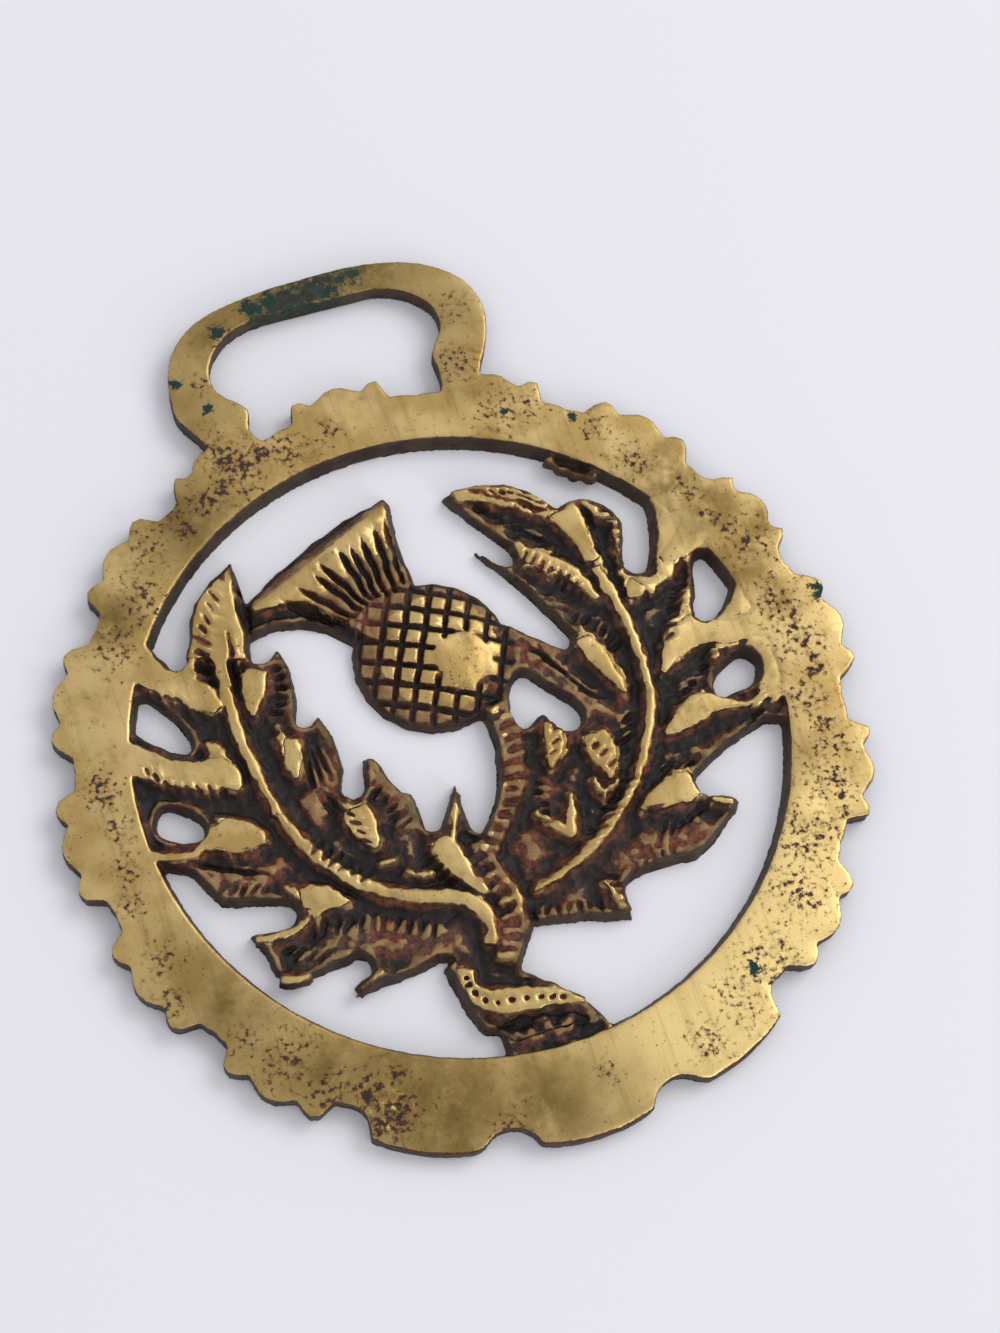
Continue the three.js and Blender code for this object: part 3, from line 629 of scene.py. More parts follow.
# Each row is a line, a pitch, the length of a cut and its direction in degrees from +X. A row that is
# cut deeper and wider than the others gives its depth and width as well.
LEFT_ROWS = [
    ([(-18.3, 20.4), (-19, 19.3), (-19.6, 18.4), (-20.3, 17.4)], 1.15, 1.4, 106),
    ([(-20.6, 16.4), (-21, 15.2), (-21.2, 13.6), (-21.2, 11.4)], 1.35, 2, -35, 0.6, 0.9),
    ([(-18.2, 15.4), (-18.6, 13.6), (-18.9, 11.6)], 1.6, 2.4, 83),
    ([(-13.9, 12.8), (-14.4, 10.4), (-15.1, 8.6), (-16.2, 7.6)], 0.95, 1.7, -15),
    ([(-14.9, 1.4), (-11.7, 2)], 0.85, 4.2, 97),
    ([(-14.4, -2.2), (-11.9, -1.6)], 0.8, 2.4, 105),
    ([(-12.6, -3.9), (-12.3, -4.9), (-12.1, -6), (-11.7, -7.3)], 1.05, 1.3, -38),
    ([(-26.2, 12.3), (-24.4, 11.3)], 1, 1, -60),
    ([(-29, 5.4), (-27.4, 3.3), (-24.5, 2.2), (-22.4, 1.3)], 1.05, 1, -75),
    ([(-26, -7.6), (-23.7, -8.1), (-21.1, -8.7)], 1.05, 1.5, 40),
    ([(-26.6, -4.6), (-24, -5.9), (-21.2, -7)], 1.5, 2.6, -30),
    ([(-16.4, -6), (-14.4, -8.6), (-12.3, -10.6)], 1.05, 1.9, 35),
    ([(-10, -1.6), (-8.6, -4.4), (-7.6, -7)], 1, 1.6, 20),
    ([(-6.9, -10.2), (-6.2, -11.7), (-5.3, -13.3)], 0.9, 1.4, 11),
    ([(-18.9, -12.9), (-16, -13.9), (-12.4, -14.6), (-8.2, -16.8)], 1.1, 1.7, 62),
    ([(-22.4, -13.6), (-20.6, -15.2), (-18.6, -16)], 1.1, 1.5, 25),
]
RIGHT_ROWS = [
    ([(8.6, 24), (12.4, 22.6), (14.7, 20.7)], 0.95, 1, -39),
    ([(8.9, 22.1), (12, 18.7), (14.6, 16.4)], 1.25, 1.7, -30),
    ([(20.1, 18.4), (20.8, 15.8), (20, 13.2)], 1.05, 1.6, -10),
    ([(18.7, 18.3), (18.3, 16.1), (18.2, 14)], 0.95, 0.9, -75),
    ([(25.2, 9.6), (24, 8.3), (23.2, 6.6), (22.2, 4.9), (21.2, 3.2)], 1.1, 1.6, 8),
    ([(25, 1.2), (23.5, 0.1), (21.6, -1.4), (20, -2.8)], 1.1, 1.4, 12),
    ([(28.3, -4.9), (26.6, -6), (24.7, -7.2), (22.2, -8.3)], 1.15, 1.7, 10),
    ([(14.8, -15.9), (12.9, -16.1), (10.4, -16.7)], 1, 1.2, 61),
    ([(8.2, -1.6), (7.8, -2.9), (7, -4.2)], 1.25, 1.3, 21),
    ([(11.2, -4.2), (12, -5.6), (12.3, -6.8)], 1.15, 1.2, 31),
    ([(13.4, -4.4), (13.9, -5.6)], 1.1, 1, 31),
    ([(13.2, -8.3), (11.2, -10), (9.6, -11.6), (7.8, -12.9)], 1.1, 2, 2),
    ([(11.3, 16), (13.6, 13.4), (15.6, 10.2)], 0.95, 1.4, 41),
    ([(9.4, 14.4), (11.6, 11.6), (13.2, 9.4)], 1.3, 1.7, -35),
    ([(14, 8.9), (15.9, 7), (16.8, 4.8)], 1, 1.4, 35),
    ([(9.4, 6.2), (11.2, 3.2), (12.6, 1)], 1.2, 1.9, -48),
    ([(15.2, -2.4), (14.4, -4.4)], 1, 1.7, 20),
    ([(5.2, -6), (5, -8), (4.2, -10.5)], 1, 1.4, -20),
    ([(8.6, -16.6), (8.8, -18.8), (8.4, -20.2)], 0.95, 1.2, -9),
    ([(1.8, -18), (5, -18.6), (7.6, -19.4)], 1, 1.3, 70),
    ([(16.8, -8.4), (19.6, -8.6)], 1.1, 2.4, 25),
    ([(19.6, -12.4), (17, -13.6), (14, -14.2)], 1.1, 1.7, 48),
]
for row in LEFT_ROWS + RIGHT_ROWS:
    hatch(points, *row)
print(len(LEFT_ROWS) + len(RIGHT_ROWS), "rows of cuts")

# %% [markdown]
# ## Cast skin, dents and flaws
#
# The low ground still has the skin of the sand mould: lumpy at about a millimetre and grainy below it.
# The rubbed lands are nearly flat, and wave only a little where a file and then a cloth have gone over
# them. Some faults are left from the mould: a torn and rocky root, and a rough sunken patch at the lower
# left of the ring. The rim of the foot has worn round.

# %% Roughen and wear
STEM_LINE = [(3.9, 2.5), (4.0, -1.0), (3.3, -4.0), (2.0, -6.8), (0.2, -9.0), (-2.4, -10.0),
             (-2, -13), (-1.5, -16), (-1.9, -18.9)]
ROOT = [(-8.6, -23.4), (-7.6, -25.2), (-5.8, -27.0), (-3.0, -26.6), (1.4, -27.0), (4.6, -28.4),
        (4.4, -30), (0, -31.2), (-5.6, -31.2), (-7.8, -28.8)]
ROOT_LEVEL = 1.3  # the torn metal of the root lies about this high
FOOT_RIM = 36.9  # the foot is worn from here out
FOOT_WEAR = 0.55  # mm lost at its outer edge
SUNKEN = (-17.4, -30.6)  # middle of the sunken patch
SUNKEN_REACH = (3.4, 2.4)
SUNKEN_DEPTH = 0.22


def by_stem(x, y):
    """1 along the stem, 0 away from it."""
    return 1 - ease(1.2, 1.8, -depth_inside(x, y, STEM_LINE + STEM_LINE[-2:0:-1]))


def roughen(points, normals, low_ground):
    x, y, z = points.T
    z += 0.2 * grain(x, y, 0.8, 14) * by_stem(x, y) * ease(1.2, 1.6, z)
    lumps = 0.14 * grain(x, y, 1.2, 3) + 0.12 * grain(x, y, 0.6, 4) + 0.05 * grain(x, y, 0.32, 5)
    z += lumps * low_ground
    waves = 0.02 * grain(x, y, 7.0, 6) + 0.008 * grain(x, y, 2.5, 7)
    z += waves * facing_up(normals)
    wall = 1 - ease(0.3, 0.7, np.abs(normals[:, 2]))
    chatter = 0.05 * grain(x + z, y - z, 0.8, 8) + 0.03 * grain(x - z, y + z, 0.4, 9) - 0.03
    chatter += 0.16 * grain(x, y, 1.3, 10) * on_the_leaves(x, y) * off_the_head(x, y)
    points += normals * (chatter * wall)[:, None]


def tear_root(points, normals):
    """The foot of the thistle is torn and rocky, from the ribbon down to the ring."""
    x, y, z = points.T
    inside = ease(-0.3, 0.5, depth_inside(x, y, ROOT)) * facing_up(normals)
    inside = inside * (1 - ease(FRONT - 0.25, FRONT - 0.1, z))
    rocks = 0.35 * grain(x, y, 1.6, 15) + 0.3 * grain(x, y, 0.8, 16) + 0.12 * grain(x, y, 0.4, 17)
    z += inside * (0.85 * np.maximum(ROOT_LEVEL - z, 0) + rocks)


def wear_foot(points):
    x, y, z = points.T
    share = np.clip((np.hypot(x, y) - FOOT_RIM) / (FOOT_REACH - FOOT_RIM), 0, 1)
    z -= FOOT_WEAR * (share ** 2 * ease(-30.0, -36.0, y)) * ease(0.8, FRONT, z)


def sink_patch(points, normals):
    x, y, z = points.T
    away = np.hypot((x - SUNKEN[0]) / SUNKEN_REACH[0], (y - SUNKEN[1]) / SUNKEN_REACH[1])
    rough = 0.6 + 0.8 * grain(x, y, 0.7, 12) + 0.4 * grain(x, y, 0.35, 13)
    z -= SUNKEN_DEPTH * np.clip(rough, 0, 2) * (1 - ease(0.5, 1.1, away)) * facing_up(normals)


roughen(points, normals, low_ground)
tear_root(points, normals)
wear_foot(points)
sink_patch(points, normals)
limits = np.array([low, high]) / MM - np.array(ring_centre)
write_points(brass, np.clip(points, *limits))
worn_heights = height_map(points)
print("worn brass stands", round(points[:, 2].max(), 2), "mm high")

# %% [markdown]
# ## Thinning the net
#
# The net is as dense on the flat back as on the hatching. Decimate joins the triangles that carry no
# form, so the points end up where the carving is. Joining can push a point a hair outside the solid
# model's box, so the points are held just inside it.

# %% Thin out the net
MOST_TRIANGLES = 192_000
INSET = 0.002  # mm inside the box


def thin_out(piece, most):
    piece.data.calc_loop_triangles()
    thin = piece.modifiers.new("thin", "DECIMATE")
    thin.ratio = min(1.0, most / len(piece.data.loop_triangles))
    apply_modifiers(piece)


thin_out(brass, MOST_TRIANGLES)
points, normals = read_points(brass)
write_points(brass, np.clip(points, limits[0] + INSET, limits[1] - INSET))
brass.data.shade_smooth()
brass.data.calc_loop_triangles()
print("triangles:", len(brass.data.loop_triangles))

# %% [markdown]
# ## Four marks on every point
#
# The metal is bright where hands and straps have rubbed it, and dark where they never reach. The marks
# also lay painted shade in the hollows and on the lower-left side of the thistle's head, and painted glints
# on small ridges. Four values on each point say which. `rubbed` is how far it stands above the rubbing
# level, which is raised on the head's lower-left side as painted shade, and `sheltered` is how deep it lies
# below the ground around it. `ridge` is how far it stands over the ground close by, and `flank` is 1 on a
# wall or a rounded edge. They come from the form alone, so the colours can't drift away from the carving.

# %% Mark every point
GROUND = 1.3  # the height that stands in where there is no metal
RUBBING_LEVEL = FRONT - 0.16
LOOP_FOOT = 33.0  # above this the metal belongs to the loop
THIN_BANDS = [  # places where the dark edge of a leaf is narrow
    (10.5, 23.6, 5), (-20.6, 17.6, 3.8), (-22.2, -13.4, 2.4), (-22, -17.2, 2), (19, 20, 2.2),
]
points, normals = read_points(brass)
is_metal = worn_heights > 0
metal_here = is_metal.astype(float)
ground = np.where(is_metal, worn_heights, GROUND)
around = blur_map(ground, 1.6)
close_by = blur_map(worn_heights * metal_here, 0.6) / np.maximum(blur_map(metal_here, 0.6), 0.05)
from_edge = distance_map(~is_metal)


def mark(piece, name, values):
    layer = piece.data.attributes.new(name, "FLOAT", "POINT")
    layer.data.foreach_set("value", values.astype(np.float32))


def edge_band(x, y):
    """1 on the dark rounded band along the edges of the leaves, the tuft and the head."""
    thin = np.zeros(len(x))
    for place_x, place_y, reach in THIN_BANDS:
        thin = np.maximum(thin, 1 - ease(reach * 0.8, reach * 1.2, np.hypot(x - place_x, y - place_y)))
    width = 0.8 - 0.5 * thin + 0.15 * grain(x, y, 1.2, 42)
    return on_the_leaves(x, y) * (1 - ease(width - 0.2, width + 0.15, look_up(from_edge, x, y)))


def on_the_rim(x, y, z):
    """1 on the ring and the loop, which are rubbed all over their front."""
    on_ring = ease(OPENING + 0.2, OPENING + 0.6, from_opening(x, y))
    return np.maximum(on_ring, ease(LOOP_FOOT, LOOP_FOOT + 1, y)) * (z > 0.9)


def rubbed(points, normals):
    """More than 0 where the metal is rubbed, less than 0 where it has kept its dark skin; on the head's
    lower-left side it is held below 0 as painted shade.
    """
    x, y, z = points.T
    on_head = 1 - off_the_head(x, y)
    head_level = look_up(blur_map(ground, 0.6), x, y) - 0.05
    # The lower-left side of the thistle's head is held under the rubbing level: painted shade
    painted_shade_side = ease(5.4, 6.3, np.hypot(x - HEAD[0] - 0.7, y - HEAD[1] + 0.2))
    level = RUBBING_LEVEL * (1 - on_head) + (head_level + 0.5 * painted_shade_side) * on_head
    patchy = 0.18 + 0.35 * grain(x, y, 0.9, 41)
    above = (z - level) - patchy * by_stem(x, y) - 0.6 * edge_band(x, y)
    rim = on_the_rim(x, y, z)
    sunk = np.minimum(z - look_up(close_by, x, y) + 0.05, 0)
    above = above * (1 - rim) + (0.2 + 3 * sunk) * rim
    return above - 0.5 * (1 - ease(0.3, 0.75, normals[:, 2]))


x, y, z = points.T
band = edge_band(x, y) * ease(0.0, 0.3, normals[:, 2])
# rubbed: real wear, and painted shade on the head's lower-left side
mark(brass, "rubbed", rubbed(points, normals))
# sheltered: depth below the ground around; it sets both the dirt and the painted shade in the hollows
mark(brass, "sheltered", look_up(around, x, y) - z)
mark(brass, "ridge", z - look_up(close_by, x, y) - 0.3 * band)
mark(brass, "flank", np.maximum(band, 1 - ease(0.35, 0.75, normals[:, 2])))
print("marks:", [a.name for a in brass.data.attributes if a.data_type == "FLOAT"])

# %% [markdown]
# ## The metal
#
# One material does the whole piece, because it is one casting. It holds two finishes, rubbed brass and
# old dark skin, and the marks mix them. Noise at several sizes breaks the border between them, so it is
# ragged as real wear is. A few small tools come first: each makes one node and hands back its output,
# so a finish can be written as a line of sums.

# %% Small tools for building a shader
metal = bpy.data.materials.new("worn_brass")
metal.use_nodes = True
tree = metal.node_tree
shader = tree.nodes["Principled BSDF"]


def feed(socket, value):
    """Give a socket a number, or join it to the output of another node."""
    if isinstance(value, bpy.types.NodeSocket):
        socket.id_data.links.new(value, socket)
    else:
        socket.default_value = value


def add(kind, inputs, output=0, nodes=tree.nodes, **settings):
    """Make a node, set it up, and hand back one of its outputs."""
    node = nodes.new("ShaderNode" + kind)
    for name, value in settings.items():
        setattr(node, name, value)
    for name, value in inputs.items():
        feed(node.inputs[name], value)
    return node.outputs[output]


def maths(operation, *values, nodes=tree.nodes):
    return add("Math", dict(enumerate(values)), nodes=nodes, operation=operation)


def times(first, second):
    return maths("MULTIPLY", first, second)


def step(value, start, end, nodes=tree.nodes):
    """0 up to start, 1 from end on, and a smooth way between them."""
    inputs = {"Value": value, "From Min": start, "From Max": end}
    return add("MapRange", inputs, nodes=nodes, interpolation_type="SMOOTHSTEP")


def wander(value, reach):
    """Turn noise of 0 to 1 into a shift of -reach to reach."""
    return maths("MULTIPLY_ADD", value, 2 * reach, -reach)


def blend(share, first, second, kind="RGBA"):
    """The first colour or number where the share is 0, and the second where it is 1."""
    return add("Mix", {"Factor": share, "A": first, "B": second}, "Result", data_type=kind)


def glaze(strength, mask, under, over):
    """Lay a colour over another one, as strong as the mask says."""
    return blend(times(mask, strength), under, over)


def colour(red, green, blue):
    """A colour named as on a screen, 0 to 255, as the light that the shader works with."""
    light = [((c / 255 + 0.055) / 1.055) ** 2.4 if c > 10 else c / 255 / 12.92 for c in (red, green, blue)]
    return (*light, 1.0)


# Places in mm from the ring's middle, in space and flat on the table
place = add("VectorMath", {0: add("TexCoord", {}, "Object"), 1: (1 / MM,) * 3}, operation="MULTIPLY")
place = add("VectorMath", {0: place, 1: tuple(ring_centre)}, operation="SUBTRACT")
flat_place = add("VectorMath", {0: place, 1: (1.0, 1.0, 0.0)}, operation="MULTIPLY")


def noise(size, detail=2.0, roughness=0.5, at=place):
    """Noise from 0 to 1 with hills about `size` mm across."""
    return add("TexNoise", {"Vector": at, "Scale": 1 / size, "Detail": detail, "Roughness": roughness})


print("shader tools stand on", len(tree.nodes), "nodes")

# %% [markdown]
# ## Ragged spots
#
# Wear, stains and pits sit in spots: strong in the middle, gone at the rim, and frayed at the edge. One
# node group makes such a spot from its middle, its reach, a noise that frays it, and a blur. Painting
# the spots would need an image; a group that is used again for every spot doesn't.

# %% A node group for one ragged spot


def build_spot_group():
    group = bpy.data.node_groups.new("ragged_spot", "ShaderNodeTree")
    kinds = {"Place": "Vector", "Middle": "Vector", "Reach": "Float", "Fray": "Float", "Blur": "Float"}
    for name, kind in kinds.items():
        group.interface.new_socket(name, in_out="INPUT", socket_type="NodeSocket" + kind)
    group.interface.new_socket("Mask", in_out="OUTPUT", socket_type="NodeSocketFloat")
    nodes = group.nodes
    given = nodes.new("NodeGroupInput").outputs
    ends = {0: given["Place"], 1: given["Middle"]}
    away = add("VectorMath", ends, "Value", nodes, operation="DISTANCE")
    share = maths("DIVIDE", away, given["Reach"], nodes=nodes)
    frayed = maths("ADD", share, given["Fray"], nodes=nodes)
    outer = maths("ADD", 1.0, given["Blur"], nodes=nodes)
    inner = maths("SUBTRACT", 1.0, given["Blur"], nodes=nodes)
    feed(nodes.new("NodeGroupOutput").inputs["Mask"], step(frayed, outer, inner, nodes))
    return group


spot_group = build_spot_group()


def spot(x, y, reach, fray, blur):
    inputs = {"Place": flat_place, "Middle": (x, y, 0.0), "Reach": reach, "Fray": fray, "Blur": blur}
    node = tree.nodes.new("ShaderNodeGroup")
    node.node_tree = spot_group
    for name, value in inputs.items():
        feed(node.inputs[name], value)
    return node.outputs["Mask"]


def spots(places, fray, blur=0.25):
    """One mask for a list of spots [x, y, reach], with their edges moved by `fray`."""
    mask = spot(*places[0], fray, blur)
    for middle_and_reach in places[1:]:
        mask = maths("MAXIMUM", mask, spot(*middle_and_reach, fray, blur))
    return mask


print("spot group has", len(spot_group.nodes), "nodes")

# %% [markdown]
# ## Where the two finishes meet
#
# A step turns each mark into a mask: bright above the rubbing level, black dirt with painted shade in the
# sheltered places, and a painted glint, partly rubbed brass, on every small ridge that a cloth can touch.
# Noise goes in before the step, to fray the border.

# %% Where the metal is rubbed, and where dirt and painted shade lie
MARKS = ["rubbed", "sheltered", "ridge", "flank"]
# the rubbed mark also carries the painted shade on the head's lower-left side
rub_and_shade_mark, shelter_mark, ridge_mark, flank_mark = [
    add("Attribute", {}, "Fac", attribute_name=name) for name in MARKS
]
fray = wander(noise(0.7, 4.0, 0.6), 0.18)
bright = step(maths("ADD", rub_and_shade_mark, fray), -0.04, 0.04)
# Black in the sheltered hollows: partly real dirt, partly painted shade in the recesses
dirt_and_painted_shade = step(maths("ADD", shelter_mark, wander(noise(1.6, 3.0), 0.25)), 0.05, 0.38)
# A painted glint: highlight colour on small ridges of the skin, partly rubbed brass on their tops
painted_glint = step(maths("ADD", ridge_mark, times(fray, 0.5)), 0.01, 0.09)
print("masks made from the marks", MARKS)

# %% [markdown]
# ## Rubbed brass
#
# Rubbed brass is never one colour. Its base is a soft mix of pale straw and tan. Over it go thin
# glazes: olive patches in listed places, painted shade on the loop and the left of the ring, a painted
# pool of light at its lower right, and hairlines left by the polishing cloth.

# %% Rubbed brass
PALE_BRASS = colour(218, 190, 128)
TAN_BRASS = colour(190, 160, 98)
OLIVE_BRASS = colour(128, 106, 58)
# brass as if brightly lit, for the painted pool of light
PAINTED_LIGHT_BRASS = colour(250, 222, 150)
OLIVE_PLACES = [
    (-12.3, -32.3, 4.4), (-15.6, -28.4, 3), (-21.3, -26.1, 2.6), (34.4, 12.9, 2.2), (-18.3, 28.6, 3),
    (31.6, 9.6, 2.4), (33, 5.6, 1.8), (-27.9, -17.5, 2.4), (3.6, -34.6, 2.2), (27.5, 20, 3.4),
    (30, 15.6, 3), (-28.2, 20.8, 2.6), (6.5, 49.6, 2.6), (-9.8, 46.8, 2.2), (-4, -34.5, 3),
]
# Painted shade on the loop and on the left and bottom of the ring
PAINTED_SHADE_PLACES = [
    (-14.5, 41, 4.5), (-11, 46.5, 4), (-4, 49, 4.5), (4, 50, 4.5), (10, 48, 4.5),
    (13, 43, 4), (12, 38, 3.5), (-19, 28.5, 5), (-30.5, -15, 4), (-27.5, -21, 5.5),
    (-21.5, -27, 5.5), (-15, -31.5, 5.5), (-8.5, -34, 5), (-1, -35.5, 4.5), (6, -36, 3.5),
]
# A painted pool of light on the ring's lower right
PAINTED_LIGHT_PLACES = [
    (10, -32.5, 6.5), (15, -30.5, 7.5), (20.5, -27, 7.5), (25.5, -22.5, 6), (29.5, -16, 2.5),
]
cloud = wander(noise(3.0, 4.0, 0.6), 0.6)
# Olive patches at the listed places, frayed by noise
olive_patches = times(spots(OLIVE_PLACES, cloud, 0.95), step(noise(2.6, 5.0, 0.65), 0.25, 0.62))
along_the_cloth = add("VectorMath", {0: place, 1: (1.0, 0.06, 1.0)}, operation="MULTIPLY")
hairlines = noise(0.9, 3.0, 0.6, along_the_cloth)
clean = blend(step(noise(5.0, 3.0), 0.35, 0.65), PALE_BRASS, TAN_BRASS)
clean = glaze(0.6, step(noise(2.2, 5.0, 0.6), 0.5, 0.8), clean, OLIVE_BRASS)
clean = glaze(0.95, olive_patches, clean, OLIVE_BRASS)
# painted shade
clean = glaze(0.5, spots(PAINTED_SHADE_PLACES, cloud, 1.0), clean, OLIVE_BRASS)
# painted light
clean = glaze(0.9, spots(PAINTED_LIGHT_PLACES, cloud, 1.0), clean, PAINTED_LIGHT_BRASS)
clean = glaze(0.3, step(hairlines, 0.52, 0.72), clean, OLIVE_BRASS)
print("rubbed brass with", len(OLIVE_PLACES + PAINTED_SHADE_PLACES + PAINTED_LIGHT_PLACES), "clouds")

# %% [markdown]
# ## Old dark skin
#
# The hollows have never been rubbed. Their skin is brown, red-brown in places, and black with dirt and
# painted shade where it is deepest. Small ridges in it get a painted glint, partly rubbed brass. Walls and
# rounded edges are a duller olive brown.

# %% Old dark skin
BLACK_SKIN = colour(22, 13, 8)
DARK_SKIN = colour(48, 28, 18)
BROWN_SKIN = colour(84, 58, 42)
RED_SKIN = colour(122, 62, 34)
WALL_SKIN = colour(66, 52, 32)
DARK_WALL = colour(50, 28, 18)
# pale brass painted on ridges as a highlight
PAINTED_GLINT_SKIN = colour(176, 146, 94)
skin = blend(step(noise(4.5, 2.0), 0.38, 0.56), BROWN_SKIN, RED_SKIN)
skin = blend(step(noise(0.5, 3.0, 0.6), 0.35, 0.7), skin, DARK_SKIN)
# Black where it lies deepest: real dirt and painted shade together
skin = blend(dirt_and_painted_shade, skin, BLACK_SKIN)
# painted glint on the small ridges
skin = blend(times(painted_glint, maths("MULTIPLY_ADD", noise(1.6, 3.0), 1.6, -0.3)), skin, PAINTED_GLINT_SKIN)
wall = blend(step(noise(3.0, 3.0), 0.45, 0.6), WALL_SKIN, DARK_WALL)
skin = glaze(0.85, flank_mark, skin, wall)
print("tree has grown to", len(tree.nodes), "nodes")

# %% [markdown]
# ## Pits
#
# The ring was cast with a gassy skin, so rubbing left patches of small dark pits. They sit in a few
# places, not everywhere. Each place is a ragged spot, and inside it fine noise is cut at a level that
# leaves only specks.

# %% Pits
PITTED = [
    (-12.2, 32.4, 3.4), (-7.6, 32.9, 2.6), (-13.9, 35.1, 2.2), (-2.7, 34, 1.4), (-22.6, 27.2, 2),
    (-25, 22, 3), (-28.6, 17.8, 2.6), (-20, 29.4, 2.2), (-33.1, 4.7, 2), (-32.9, 0.6, 1.6),
    (-33.5, -3.1, 1.6), (-33.5, -6.6, 1.3), (-32.3, -12.2, 1.8), (-32.9, -15.9, 1.6), (-24.4, -24.2, 3),
    (-27.2, -21.5, 2), (-21.7, -27.4, 2.4), (-17.2, -30.4, 3.4), (33.6, 0, 3), (31.9, -5.7, 2.6),
    (32.4, -10.5, 2.8), (31.1, -14.1, 2.8), (27.6, -18.7, 3.6), (24.3, -23.2, 3.2), (19.5, -28.5, 2.8),
    (15.6, -31.2, 2.4), (32.2, 11.3, 2.6), (32.9, 4.7, 2.8), (13.9, 31.6, 2.6), (17.1, 31.2, 1.8),
    (11.4, 37.9, 2.2), (12.6, 43.8, 1.6), (-13.3, 42.3, 1.2), (25, 22.6, 2), (22.2, 26.9, 1.6),
    (28.6, 18.2, 1.6), (11.7, -33.8, 1.8), (-9.6, 46.6, 1.4), (-8, -35.2, 1.6), (2, -33.6, 1.2),
]
STREAKS = [
    (29.2, 15.4, 0.7), (30.1, 14.4, 0.7), (31, 13.2, 0.5), (32.3, 11.3, 0.9), (33.3, 1.2, 0.7),
    (33.9, -0.3, 0.9), (34, -1.8, 0.7), (33.2, -3.2, 0.6), (-33.5, 5.4, 1), (-33.2, 3.6, 0.8),
    (-33.3, 1.4, 0.6), (31.6, -15.6, 0.7), (31.1, -17.4, 0.8), (32.9, -11.2, 0.6), (-18.6, -29, 1.4),
    (-16.4, -31.2, 1.5), (-15.6, -28.2, 0.9), (-12.2, 32.8, 1.6), (-14.6, 31.2, 1.2), (-24.6, 22.6, 1),
    (26.6, -19.2, 1), (24, -23.4, 0.8), (34.6, -3.2, 0.8), (32, -13.4, 0.8), (-24.8, -23.8, 0.9),
    (-16.4, 30, 1.6), (-13.4, 34, 1.4), (-10, 33.4, 1.3), (-19, 27.6, 1.2), (-18.4, -31.6, 1.6),
    (-17.2, -32.6, 1.3), (-19.4, -32.6, 1), (33.9, 3, 0.8), (32.6, -8.6, 0.8),
]
grit = noise(0.55, 3.0, 0.62)
sparse = times(spots(PITTED, cloud, 0.9), 0.175)
dense = times(spots(STREAKS, cloud, 0.8), 0.26)
grit_here = maths("ADD", grit, maths("MAXIMUM", sparse, dense))
stray = maths("ADD", noise(0.3, 2.0, 0.5), times(noise(4.0, 2.0), 0.3))
pits = maths("MAXIMUM", step(grit_here, 0.735, 0.765), step(stray, 0.86, 0.9))
stained_rim = step(grit_here, 0.61, 0.75)
print(len(PITTED), "pitted places and", len(STREAKS), "streaks")

# %% [markdown]
# ## Green spots and the strap's stain
#
# Damp turns brass green. A few small spots of verdigris sit on the ring and the loop, and the top bar,
# where the strap kept the metal wet, has one long stain with a dull halo round it.

# %% Green spots and the stain
VERDIGRIS = [
    (-6, 49, 1), (-15.6, 43, 0.5), (-13.4, 39.6, 0.5), (-10.2, 47.6, 0.7), (37.3, 4.3, 0.9),
    (17.9, -29, 0.6), (14.2, 31.2, 0.35), (-4.4, 49.4, 0.7), (1.6, 48.8, 0.6), (20.6, 28.6, 0.4),
]
STRAP_STAIN = [
    (-5.8, 48.8, 1.1), (-4.2, 48.9, 1.5), (-2.4, 49, 1.9), (-0.6, 49.2, 2.3), (1, 49.3, 2.1),
    (2.8, 49.9, 1.2), (4.4, 50.2, 1), (-0.2, 47, 1.3),
]
rough_edge = maths("MULTIPLY_ADD", noise(0.6, 4.0, 0.65), 4.5, -2.3)
green = spots(VERDIGRIS, rough_edge)
stain = spots(STRAP_STAIN, rough_edge, 0.6)
halo = spots([(x, y, 1.5 * reach) for x, y, reach in STRAP_STAIN], rough_edge, 1.4)
print(len(VERDIGRIS), "green spots; the stain joins", len(STRAP_STAIN))

# %% [markdown]
# ## Put the finishes together
#
# The layers go on from the bottom up: clean brass, brown rims, pits, the old skin with its dirt, painted
# shade and painted glints where it is not rubbed, then halo, stain and verdigris. Only bare brass shines
# as a metal; the rest is a dull crust.

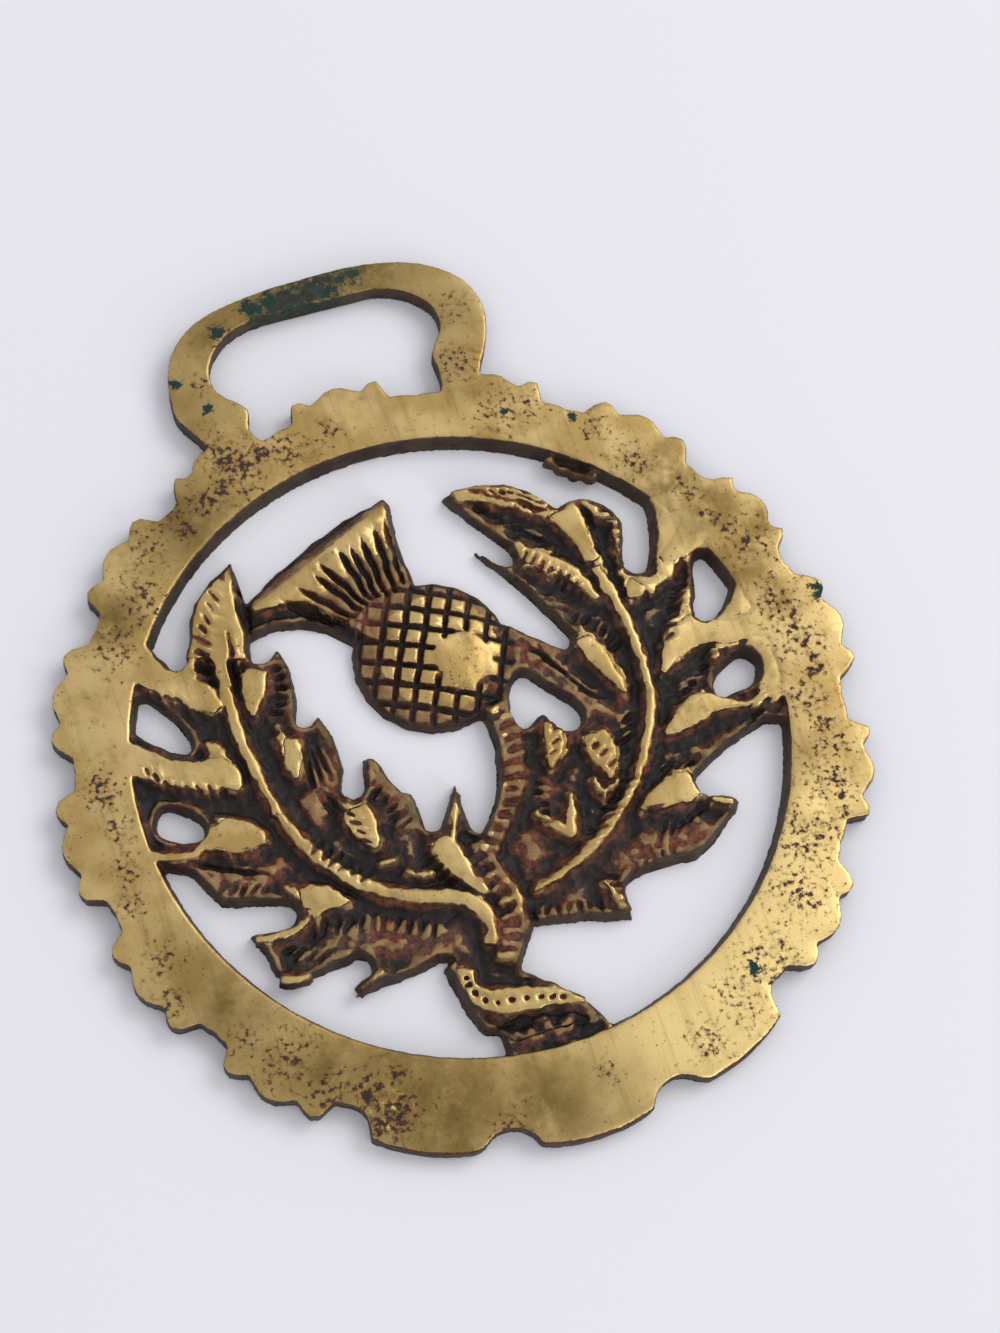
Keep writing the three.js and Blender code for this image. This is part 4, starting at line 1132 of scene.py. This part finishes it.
# %% Put the finishes together
PIT_BROWN = colour(70, 41, 22)
PIT_BLACK = colour(26, 14, 8)
RIM_BROWN = colour(128, 92, 56)
VERDIGRIS_GREEN = colour(8, 46, 38)
STAIN_BLACK = colour(18, 24, 14)
STAIN_OLIVE = colour(86, 80, 50)
pit = blend(step(grit_here, 0.78, 0.86), PIT_BROWN, PIT_BLACK)
mottle = blend(step(noise(0.9, 4.0), 0.42, 0.6), STAIN_BLACK, VERDIGRIS_GREEN)
surface = glaze(0.62, stained_rim, clean, RIM_BROWN)
surface = glaze(0.95, pits, surface, pit)
surface = blend(bright, skin, surface)
surface = glaze(0.6, halo, surface, STAIN_OLIVE)
surface = glaze(0.93, stain, surface, mottle)
surface = blend(green, surface, VERDIGRIS_GREEN)
covered = maths("MAXIMUM", pits, maths("MAXIMUM", green, stain))
bare = times(bright, maths("SUBTRACT", 1.0, covered))
sheen = maths("ADD", maths("MULTIPLY_ADD", noise(1.5, 4.0), 0.2, 0.24), times(hairlines, 0.1))
crust_metal = maths("MULTIPLY_ADD", covered, -0.3, 0.3)
crust_roughness = maths("MULTIPLY_ADD", covered, 0.25, 0.55)
feed(shader.inputs["Base Color"], surface)
feed(shader.inputs["Metallic"], blend(bare, crust_metal, 1.0, "FLOAT"))
feed(shader.inputs["Roughness"], blend(bare, crust_roughness, sheen, "FLOAT"))
print("finishes use", len(tree.nodes), "nodes")

# %% [markdown]
# ## Fine relief
#
# The pits, the grain of the sand and the cloth's hairlines are too small for the net, so a bump stands
# in for them: it only tilts the light. It is less than a tenth of a millimetre deep.

# %% Fine relief of the skin
PIT_DEPTH = 0.00008  # metres
cast_grain = times(noise(0.25, 3.0), maths("SUBTRACT", 1.2, bare))
relief = maths("ADD", cast_grain, times(pits, -1.0))
relief = maths("ADD", relief, times(hairlines, 0.12))
bump = {"Height": relief, "Strength": 0.7, "Distance": PIT_DEPTH}
feed(shader.inputs["Normal"], add("Bump", bump))
brass.data.materials.append(metal)
print("shader has", len(tree.nodes), "nodes")

# %% [markdown]
# ## Hand over
#
# The mesh goes back to metres and to the solid's own place. It rides on the root body and stands in for
# the solid model's brass.

# %% Scale to metres and hand over
brass.data.transform(Matrix.Translation(ring_centre))
brass.data.transform(Matrix.Scale(MM, 4))
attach(brass, "root")
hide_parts("horse_brass")
